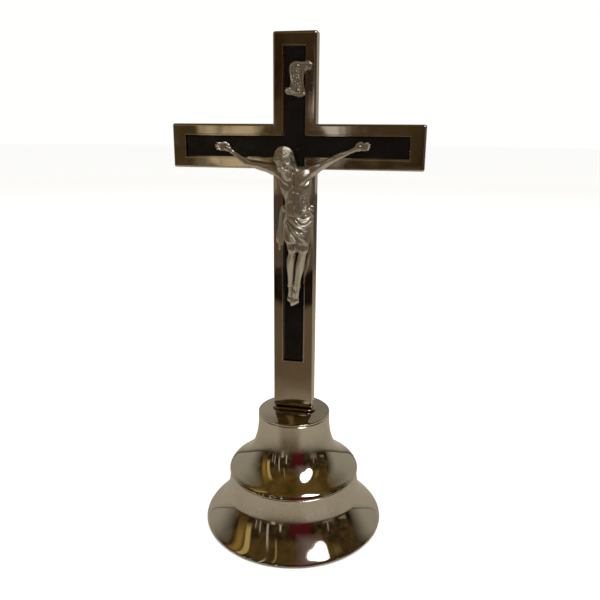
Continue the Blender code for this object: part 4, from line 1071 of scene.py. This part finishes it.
# ------------------------------------------------------------------ scroll, nails and hardware
# Outline and relief of the scroll: millimetres about its middle, forward of its back.
SCROLL_OUTLINE = [(-4.3, 3.5), (-3.8, 7.6), (-1.0, 9.2), (3.4, 8.9), (6.4, 9.3), (8.1, 7.2),
                  (6.9, 5.0), (4.6, 4.2), (3.6, 0.0), (4.2, -5.0), (4.7, -8.0), (1.5, -9.5),
                  (-3.0, -8.5), (-6.3, -7.5), (-6.4, -5.3), (-4.4, -4.3), (-3.7, -1.0)]
BEADS = [(0.5, 7.0, 0.5), (-1.8, 5.6, 0.4), (0.4, 5.5, 0.42), (-2.5, 4.1, 0.42), (-0.6, 4.0, 0.5),
         (0.6, 3.6, 0.42), (0.8, 1.9, 0.42), (-2.0, 1.4, 0.5), (-0.5, 0.6, 0.34), (1.3, -0.2, 0.4),
         (-1.2, -1.2, 0.36), (1.7, -1.9, 0.42), (0.3, -2.6, 0.36), (1.4, -3.8, 0.4)]
BARS = [((-2.0, 7.0), (-0.9, 7.2)), ((-1.3, 5.5), (-0.6, 5.3)), ((-1.2, 2.4), (-0.1, 2.2)),
        ((-1.0, -2.9), (-0.9, -4.0)), ((0.0, 0.9), (0.5, 0.7))]


def outline_distance(points):
    """Distance to a closed outline in the XZ plane, negative inside."""
    corners = np.array(points)

    def distance(x, z):
        at_x, at_z = np.broadcast_arrays(x, z)
        best = np.full(at_x.shape, 99.0)
        inside = np.zeros(at_x.shape, bool)
        for (ax, az), (bx, bz) in zip(corners, np.roll(corners, -1, axis=0)):
            ex, ez = bx - ax, bz - az
            t = np.clip(((at_x - ax) * ex + (at_z - az) * ez) / (ex * ex + ez * ez), 0, 1)
            best = np.minimum(best, np.hypot(at_x - ax - ex * t, at_z - az - ez * t))
            crosses = (az > at_z) != (bz > at_z)
            inside ^= crosses & (at_x < ax + ex * (at_z - az) / (ez if abs(ez) > 1e-9 else 1e-9))
        return np.where(inside, -best, best)
    return distance


def make_scroll():
    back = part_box("scroll")[1].y
    pins = [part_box(node) for node in ("scroll_pin_upper", "scroll_pin_lower")]
    middle = ((pins[0][0].x + pins[0][1].x) / 2, back, sum(pin[0].z + pin[1].z for pin in pins) / 4)
    pin_up = (pins[0][0].z + pins[0][1].z) / 2 / MM - middle[2] / MM
    clay = Clay((-7.6, -0.3, -10.4), (9.2, 3.2, 10.4), 0.12)
    loop = [tuple(p) for p in smooth_path([(*p, 0, 0) for p in SCROLL_OUTLINE + SCROLL_OUTLINE[:1]],
                                          5)[:-1, :2]]
    flat = outline_distance(loop)

    def plate(x, y, z):
        side = flat(x[:, 0], z[:, 0])[:, None, :] + 0.3
        thick = np.abs(y - 0.42) - 0.12
        return (np.sqrt(np.maximum(side, 0) ** 2 + np.maximum(thick, 0) ** 2)
                + np.minimum(np.maximum(side, thick), 0) - 0.3).astype(np.float32)
    clay.merge(np.array((-7.6, -0.2, -10.3)), np.array((9.2, 1.2, 10.3)), plate, 0.2)

    def ridge(points, soft=0.3, cut=False, steps=5):
        clay.stroke(points, soft, steps, cut)

    ridge([(-3.9, 0.85, 6.6, 0.4), (-4.0, 0.9, 3.8, 0.42), (-3.5, 0.95, 1.0, 0.45),
           (-2.9, 1.05, -1.4, 0.55), (-2.4, 1.0, -3.4, 0.5), (-3.2, 0.9, -5.4, 0.4)])     # left edge
    ridge([(3.3, 0.85, 6.2, 0.4), (2.7, 0.9, 3.4, 0.42), (2.8, 0.9, 0.2, 0.42), (3.3, 0.9, -3.0, 0.42),
           (3.8, 0.85, -6.4, 0.42)])                                                      # right edge
    ridge([(-3.4, 0.85, 7.5, 0.5), (-1.2, 1.0, 8.5, 0.6), (2.0, 1.0, 8.3, 0.6),
           (4.9, 1.05, 8.5, 0.62)])                                                       # top roll
    ridge([(4.6, 1.0, 8.4, 0.6), (6.9, 1.2, 8.0, 0.7), (7.5, 1.3, 6.4, 0.65), (6.3, 1.3, 5.3, 0.55),
           (5.3, 1.2, 6.2, 0.5), (6.1, 1.25, 7.0, 0.4)], 0.2)                              # curl
    ridge([(3.4, 0.7, 7.4, 0.4), (4.6, 0.8, 6.6, 0.6), (4.4, 0.8, 5.2, 0.5)], 0.4)
    ridge([(-6.0, 0.9, -6.2, 0.95), (-3.2, 0.95, -7.1, 1.0), (0.4, 0.9, -8.1, 0.95),
           (3.6, 0.8, -7.8, 0.85)], 0.3)                                                   # bottom roll
    ridge([(-6.9, 0.9, -6.0, 0.42), (-6.2, 0.9, -6.15, 0.4)], 0.15, cut=True)
    ridge([(-6.0, 1.0, -4.9, 0.5), (-4.6, 0.9, -4.9, 0.5), (-3.6, 0.9, -5.4, 0.4)], 0.3)
    ridge([(-5.4, 1.75, -5.9, 0.14), (-2.4, 1.8, -6.6, 0.16), (1.0, 1.6, -7.4, 0.14)], 0.2, cut=True)
    for x, z, radius in BEADS:
        clay.lump((x, 0.85, z), (radius, 0.55, radius * 0.92), 0.12)
    for (x0, z0), (x1, z1) in BARS:
        ridge([(x0, 0.85, z0, 0.26), (x1, 0.85, z1, 0.26)], 0.12, steps=2)
    for up in (-pin_up, pin_up):
        ridge([(1.3 * cos(2 * pi * i / 16), 0.85, up + 1.3 * sin(2 * pi * i / 16), 0.28)
               for i in range(17)], 0.15, steps=1)                                        # pin's rim
        ridge([(0, -1.0, up, 0.85), (0, 2.5, up, 0.85)], 0.05, cut=True, steps=1)
    piece = clay.cast("scroll_cast", middle, broad=0.12, narrow=0.04)
    return stands_for(piece, "scroll")


def make_nail(node):
    """Domed head with a small brim, and its shank with a spread tail behind the cross."""
    low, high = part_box(node)
    centre = (low + high) / 2
    head_radius = (high.x - low.x) / 2
    length = high.y - low.y - NAIL_HEAD
    outline = [(max(head_radius * sin(a), ON_AXIS), NAIL_HEAD * (0.25 + 0.75 * cos(a)))
               for a in np.linspace(0, pi / 2, 9)]
    outline += [(head_radius, NAIL_HEAD * 0.08), (head_radius - 0.05 * MM, 0), (NAIL_SHANK, 0),
                (NAIL_SHANK, 0.6 * MM - length), (NAIL_SHANK * 1.6, 0.5 * MM - length),
                (NAIL_SHANK * 1.3, -length), (ON_AXIS, -length)]
    piece = turned_piece(node + "_turned", PIN, outline, steps=40, smooth=50)
    hold(piece)
    piece.rotation_euler = (pi / 2, 0, 0)
    piece.location = (centre.x, low.y + NAIL_HEAD, centre.z)
    bpy.ops.object.transform_apply(location=True, rotation=True, scale=True)
    piece.select_set(False)
    return stands_for(piece, node)


def ring_outline(hole, radius, low, high, edge):
    """Section of a washer with rounded outer edges."""
    return ([(hole, low)] + arc((radius - edge, low + edge), edge, -90, 0, 3)
            + arc((radius - edge, high - edge), edge, 0, 90, 3) + [(hole, high), (hole, low)])


def make_hardware():
    low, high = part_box("clamp_washer")
    outline = ring_outline(rod_hole, high.x, low.z, high.z, 0.25 * MM)
    stands_for(turned_piece("clamp_washer_turned", ZINC, outline, 72), "clamp_washer")
    low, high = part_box("lock_washer")
    outline = ring_outline(rod_hole, high.x, low.z, high.z, 0.1 * MM)
    ring = turned_piece("lock_washer_split", ZINC, outline, 64)
    bpy.ops.mesh.primitive_cube_add(size=1, location=(high.x * 0.75, 0, (low.z + high.z) / 2),
                                    rotation=(radians(35), 0, 0), scale=(2 * MM, 0.35 * MM, 4 * MM))
    carve(ring, bpy.context.object)
    ring.select_set(False)
    stands_for(ring, "lock_washer")

    low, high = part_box("clamp_nut")
    corner = max(high.x - low.x, high.y - low.y) / 2
    turn = radians(30) if high.y - low.y > high.x - low.x else 0.0
    flat = corner * cos(pi / 6)
    deep = 0.45 * MM
    cone = turned_piece("nut_chamfer", ZINC, [(ON_AXIS, low.z), (flat * 0.98, low.z),
                                              (corner, low.z + deep), (corner, high.z - deep),
                                              (flat * 0.98, high.z), (ON_AXIS, high.z)], 72)
    bpy.ops.mesh.primitive_cylinder_add(vertices=6, radius=corner, depth=high.z - low.z,
                                        location=(0, 0, (low.z + high.z) / 2),
                                        rotation=(0, 0, turn))
    carve(bpy.context.object, cone, "INTERSECT")
    drill(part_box("tie_rod")[1].x + 0.05 * MM, (0, 0, (low.z + high.z) / 2), 8 * MM)
    stands_for(settle("clamp_nut_hex", ZINC, 25), "clamp_nut")

    low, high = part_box("tie_rod")
    pitch = 0.5 * MM
    radius = high.x
    turns = int((high.z - low.z - 1.0 * MM) / pitch)
    outline = [(ON_AXIS, low.z), (radius - 0.35 * MM, low.z), (radius - 0.3 * MM, low.z + 0.2 * MM)]
    for i in range(turns):
        z = low.z + 0.3 * MM + i * pitch
        outline += [(radius - 0.28 * MM, z), (radius, z + 0.4 * pitch), (radius, z + 0.55 * pitch)]
    outline += [(radius - 0.28 * MM, low.z + 0.3 * MM + turns * pitch), (radius - 0.35 * MM, high.z),
                (ON_AXIS, high.z)]
    stands_for(turned_piece("tie_rod_threaded", ZINC, outline, 40, 20), "tie_rod")


# ------------------------------------------------------------------ studio
CAMERA_PLACE = (0.0756, -0.3485, 0.2470)
CAMERA_LENS = 36.18            # millimetres, on a 36 mm sensor
FRAME_LIFT = 2 / 600           # share of the picture that the view is shifted up


def look_from():
    """Camera at the height and angle that the object is seen from."""
    pitch, yaw, roll = 0.2745, -0.2045, 0.008                      # down, left and tilt, radians
    ahead = Vector((sin(yaw) * cos(pitch), cos(yaw) * cos(pitch), -sin(pitch)))
    right = Vector((cos(yaw), -sin(yaw), 0))
    up = right.cross(ahead)
    tilted_right = right * cos(roll) + up * sin(roll)
    tilted_up = up * cos(roll) - right * sin(roll)
    camera = bpy.data.objects.new("camera", bpy.data.cameras.new("camera"))
    bpy.context.scene.collection.objects.link(camera)
    turn = Matrix((tilted_right, tilted_up, -ahead)).transposed().to_4x4()
    camera.matrix_world = Matrix.Translation(CAMERA_PLACE) @ turn
    camera.data.sensor_width = 36
    camera.data.lens = CAMERA_LENS
    camera.data.shift_y = FRAME_LIFT
    camera.data.clip_start = 0.01
    bpy.context.scene.camera = camera


def floor_paint():
    """Plain matt paint."""
    material, _, shader = new_material("floor")
    shader.inputs["Base Color"].default_value = (0.96, 0.955, 0.945, 1)
    shader.inputs["Roughness"].default_value = 0.9
    shader.inputs["Specular IOR Level"].default_value = 0.1
    return material


def reflections_only(thing):
    """A studio card: the metal reflects it, but it hides and lights nothing else."""
    thing.visible_camera = False
    thing.visible_diffuse = False
    thing.visible_shadow = False
    thing.visible_transmission = False


CARD_DISTANCE = 2.0            # metres from the object to the nearest card
CARD_SPACING = 0.02            # each further card stands this much behind the one before
CARD_AIM = Vector((0, 0, 0.05))
OVAL_SHARPNESS = 3.0           # 1 fades a round card from its middle, more from nearer its edge
PATCH_LIFT = 0.8 * MM          # height of the first patch over the table
PATCH_SPACING = 0.15 * MM      # each further patch lies this much lower
# name: azimuths and elevations of a card's edges (0 is the front, + to the right), colour, glow, and
# how much of the card fades at its edges
CARDS = {
    "window_high": ((30, 64), (42, 68), (1.0, 0.99, 0.95), 7.0, "round"),
    "window_low": ((42, 65), (34, 62), (1.0, 0.98, 0.92), 7.0, "round"),
    "window_haze": ((14, 60), (24, 60), (0.42, 0.31, 0.30), 0.6, 1.0),
    "curtain_tan": ((-61, -52), (12, 60), (0.62, 0.44, 0.16), 0.9, 0.35),
    "curtain_gold": ((-76, -60), (6, 62), (0.44, 0.27, 0.06), 0.75, 0.8),
    "arch_tan": ((-16, -12), (30, 62), (0.52, 0.38, 0.16), 0.6, 0.6),
    "pale_strip": ((-29, -25), (4, 46), (0.62, 0.52, 0.45), 0.8, 0.5),
    "thin_strip": ((-9, -6), (1, 24), (0.75, 0.68, 0.60), 0.9, 0.4),
    "thin_strip_2": ((-40, -38), (2, 26), (0.70, 0.62, 0.55), 0.7, 0.4),
    "thin_strip_3": ((-47, -45), (0, 20), (0.70, 0.62, 0.55), 0.5, 0.4),
    "tan_box": ((-22, -15.5), (-4, 9), (0.62, 0.50, 0.33), 1.0, 0.3),
    "red_cloth": ((4, 42), (-4, 33), (0.16, 0.016, 0.022), 0.55, 0.45),
    "front_low": ((-28, 12), (-9, 1.5), (0.13, 0.10, 0.065), 1.0, 0.5),
    "front_brown": ((-28, 4), (1.5, 9), (0.075, 0.05, 0.022), 1.0, 0.4),
    "side_strip": ((72, 82), (36, 58), (0.45, 0.32, 0.12), 0.5, 0.7),
    "side_things": ((55, 78), (0, 12), (0.55, 0.48, 0.36), 0.35, 0.5),
    "side_thing_2": ((64, 67), (2, 24), (0.62, 0.55, 0.45), 0.5, 0.5),
    "side_thing_3": ((84, 100), (4, 9), (0.62, 0.5, 0.35), 0.4, 0.5),
    "left_wall": ((-190, -78), (-60, 62), (0.42, 0.385, 0.31), 0.90, 0.55),
    "right_wall": ((104, 190), (-60, 58), (0.42, 0.385, 0.31), 0.90, 0.55),
}
# the same for patches on the table: azimuths, distances from the middle
TABLE_PATCHES = {
    "table_glare": ((34, 56), (0.16, 0.45), (1.0, 0.95, 0.86), 0.45, 0.9),
    "red_thing": ((-24, -16), (0.80, 1.20), (0.42, 0.035, 0.025), 1.0, 0.4),
    "front_dark": ((-27, -5), (0.48, 0.70), (0.010, 0.007, 0.004), 1.0, 0.3),
    "table_edge": ((-72, 92), (0.60, 0.80), (0.012, 0.008, 0.005), 1.0, 0.3),
    "table_shade": ((-34, 32), (0.11, 0.64), (0.150, 0.105, 0.060), 1.0, 0.45),
}


def direction(azimuth, elevation):
    a, e = radians(azimuth), radians(elevation)
    return Vector((sin(a) * cos(e), -cos(a) * cos(e), sin(e)))


def add_card(name, place, across, along, colour, glow, fade):
    """A glowing card whose edges fade; place turns the two ranges into a spot in space.

    fade is the share of the card that fades, or "round" for a soft oval.
    """
    steps = 16
    bm = bmesh.new()
    layer = bm.verts.layers.float.new("fade")
    grid = []
    for i in range(steps + 1):
        row = []
        for k in range(steps + 1):
            u, v = i / steps, k / steps
            vert = bm.verts.new(place(across[0] + (across[1] - across[0]) * u,
                                      along[0] + (along[1] - along[0]) * v))
            if fade == "round":
                inward = 1 - hypot(2 * u - 1, 2 * v - 1)
                vert[layer] = min(max(inward * OVAL_SHARPNESS, 0), 1)
            else:
                vert[layer] = min(2 * min(u, 1 - u, v, 1 - v) / fade, 1)
            row.append(vert)
        grid.append(row)
    for left, right in zip(grid, grid[1:]):
        for k in range(steps):
            bm.faces.new((left[k], right[k], right[k + 1], left[k + 1]))
    mesh = bpy.data.meshes.new(name)
    bm.to_mesh(mesh)
    bm.free()
    card = bpy.data.objects.new(name, mesh)
    bpy.context.scene.collection.objects.link(card)
    material = bpy.data.materials.new(name)
    material.use_nodes = True
    tree = material.node_tree
    tree.nodes.remove(tree.nodes["Principled BSDF"])
    glowing = add_node(tree, "ShaderNodeEmission", Color=(*colour, 1), Strength=glow)
    clear = add_node(tree, "ShaderNodeBsdfTransparent")
    mix = add_node(tree, "ShaderNodeMixShader")
    amount = add_node(tree, "ShaderNodeAttribute", {"attribute_name": "fade"})
    tree.links.new(amount.outputs["Fac"], mix.inputs[0])
    tree.links.new(clear.outputs["BSDF"], mix.inputs[1])
    tree.links.new(glowing.outputs["Emission"], mix.inputs[2])
    tree.links.new(mix.outputs["Shader"], tree.nodes["Material Output"].inputs["Surface"])
    mesh.materials.append(material)
    reflections_only(card)


def make_room():
    """A dim brown room for the metal to reflect: shell, dark table and cards."""
    rest()
    bpy.ops.mesh.primitive_uv_sphere_add(segments=48, ring_count=24, radius=3)
    shell = bpy.context.object
    shell.name = "room_shell"
    material, tree, shader = new_material("room_shell")
    shader.inputs["Base Color"].default_value = (0, 0, 0, 1)
    shader.inputs["Specular IOR Level"].default_value = 0.0
    walls = ramp(tree, noise(tree, 1.6, 4.0), [(0.30, (0.010, 0.006, 0.003)),
                                               (0.50, (0.040, 0.024, 0.010)),
                                               (0.72, (0.110, 0.070, 0.024))])
    ceiling = ramp(tree, noise(tree, 0.9, 3.0), [(0.30, (0.060, 0.032, 0.006)),
                                                 (0.70, (0.170, 0.105, 0.026))])
    split = tree.nodes.new("ShaderNodeSeparateXYZ")
    tree.links.new(object_place(tree), split.inputs["Vector"])
    height = spread(tree, split.outputs["Z"], 0.0, 1.0, 1.5, 2.6)
    blend = add_node(tree, "ShaderNodeMix", {"data_type": "RGBA"})
    tree.links.new(height, blend.inputs["Factor"])
    tree.links.new(walls, blend.inputs[6])
    tree.links.new(ceiling, blend.inputs[7])
    tree.links.new(blend.outputs[2], shader.inputs["Emission Color"])
    shader.inputs["Emission Strength"].default_value = 1.0
    shell.data.materials.append(material)
    reflections_only(shell)
    bpy.ops.mesh.primitive_circle_add(vertices=64, radius=2.2, fill_type="NGON",
                                      location=(0, 0, -0.2 * MM))
    table = bpy.context.object
    table.name = "table_card"
    material, tree, shader = new_material("table_card")
    shader.inputs["Roughness"].default_value = 0.6
    shader.inputs["Specular IOR Level"].default_value = 0.2
    gradient = add_node(tree, "ShaderNodeTexGradient", {"gradient_type": "SPHERICAL"})
    tree.links.new(object_place(tree, (0.9, 0.9, 0.9)), gradient.inputs["Vector"])
    tone = ramp(tree, gradient.outputs["Fac"], [(0.0, (0.07, 0.052, 0.034)), (0.26, (0.08, 0.06, 0.04)),
                                                (0.34, (0.15, 0.12, 0.085)), (0.60, (0.26, 0.225, 0.17)),
                                                (0.85, (0.32, 0.285, 0.225))])
    tree.links.new(tone, shader.inputs["Base Color"])
    table.data.materials.append(material)
    reflections_only(table)
    for i, (name, values) in enumerate(CARDS.items()):
        reach = CARD_DISTANCE + CARD_SPACING * i
        add_card(name, lambda a, e: CARD_AIM + direction(a, e) * reach, *values)
    for i, (name, values) in enumerate(TABLE_PATCHES.items()):
        lift = Vector((0, 0, PATCH_LIFT - PATCH_SPACING * i))
        add_card(name, lambda a, r: direction(a, 0) * r + lift, *values)


def add_light(name, azimuth, elevation, distance, size, power, colour):
    """A soft area light that the metal doesn't reflect: the cards stand for it there."""
    lamp = bpy.data.lights.new(name, "AREA")
    lamp.size = size
    lamp.energy = power
    lamp.color = colour
    light = bpy.data.objects.new(name, lamp)
    bpy.context.scene.collection.objects.link(light)
    light.location = Vector((0, 0, 0.12)) + direction(azimuth, elevation) * distance
    light.rotation_mode = "QUATERNION"
    light.rotation_quaternion = direction(azimuth, elevation).to_track_quat("Z", "Y")
    light.visible_glossy = False


def make_studio():
    rest()
    bpy.ops.mesh.primitive_circle_add(vertices=96, radius=12, fill_type="NGON",
                                      location=(0, 0, -0.5 * MM))
    floor = bpy.context.object
    floor.name = "floor"
    floor.data.materials.append(floor_paint())
    floor.visible_glossy = False
    world = bpy.data.worlds.new("studio")
    world.use_nodes = True
    world.node_tree.nodes["Background"].inputs["Color"].default_value = (0.93, 0.93, 0.92, 1)
    world.node_tree.nodes["Background"].inputs["Strength"].default_value = 1.08
    bpy.context.scene.world = world
    add_light("key", 45, 52, 1.6, 0.9, 16, (1.0, 0.98, 0.95))
    add_light("fill", -70, 40, 1.8, 1.2, 6, (1.0, 0.96, 0.9))
    bpy.context.scene.view_settings.view_transform = "Standard"


look_from()
make_studio()
make_room()
make_lower_bell()
make_upper_bell()
make_cap_disc()
make_cross_frame()
make_inlay()
make_back_plate()
make_foot_collar()
make_corpus()
make_scroll()
for nail in ("hand_nail_left", "hand_nail_right", "foot_nail", "scroll_pin_upper", "scroll_pin_lower"):
    make_nail(nail)
make_hardware()
foot_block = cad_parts["foot_block"]
foot_block.data.materials.clear()
foot_block.data.materials.append(BRASS)

rest()
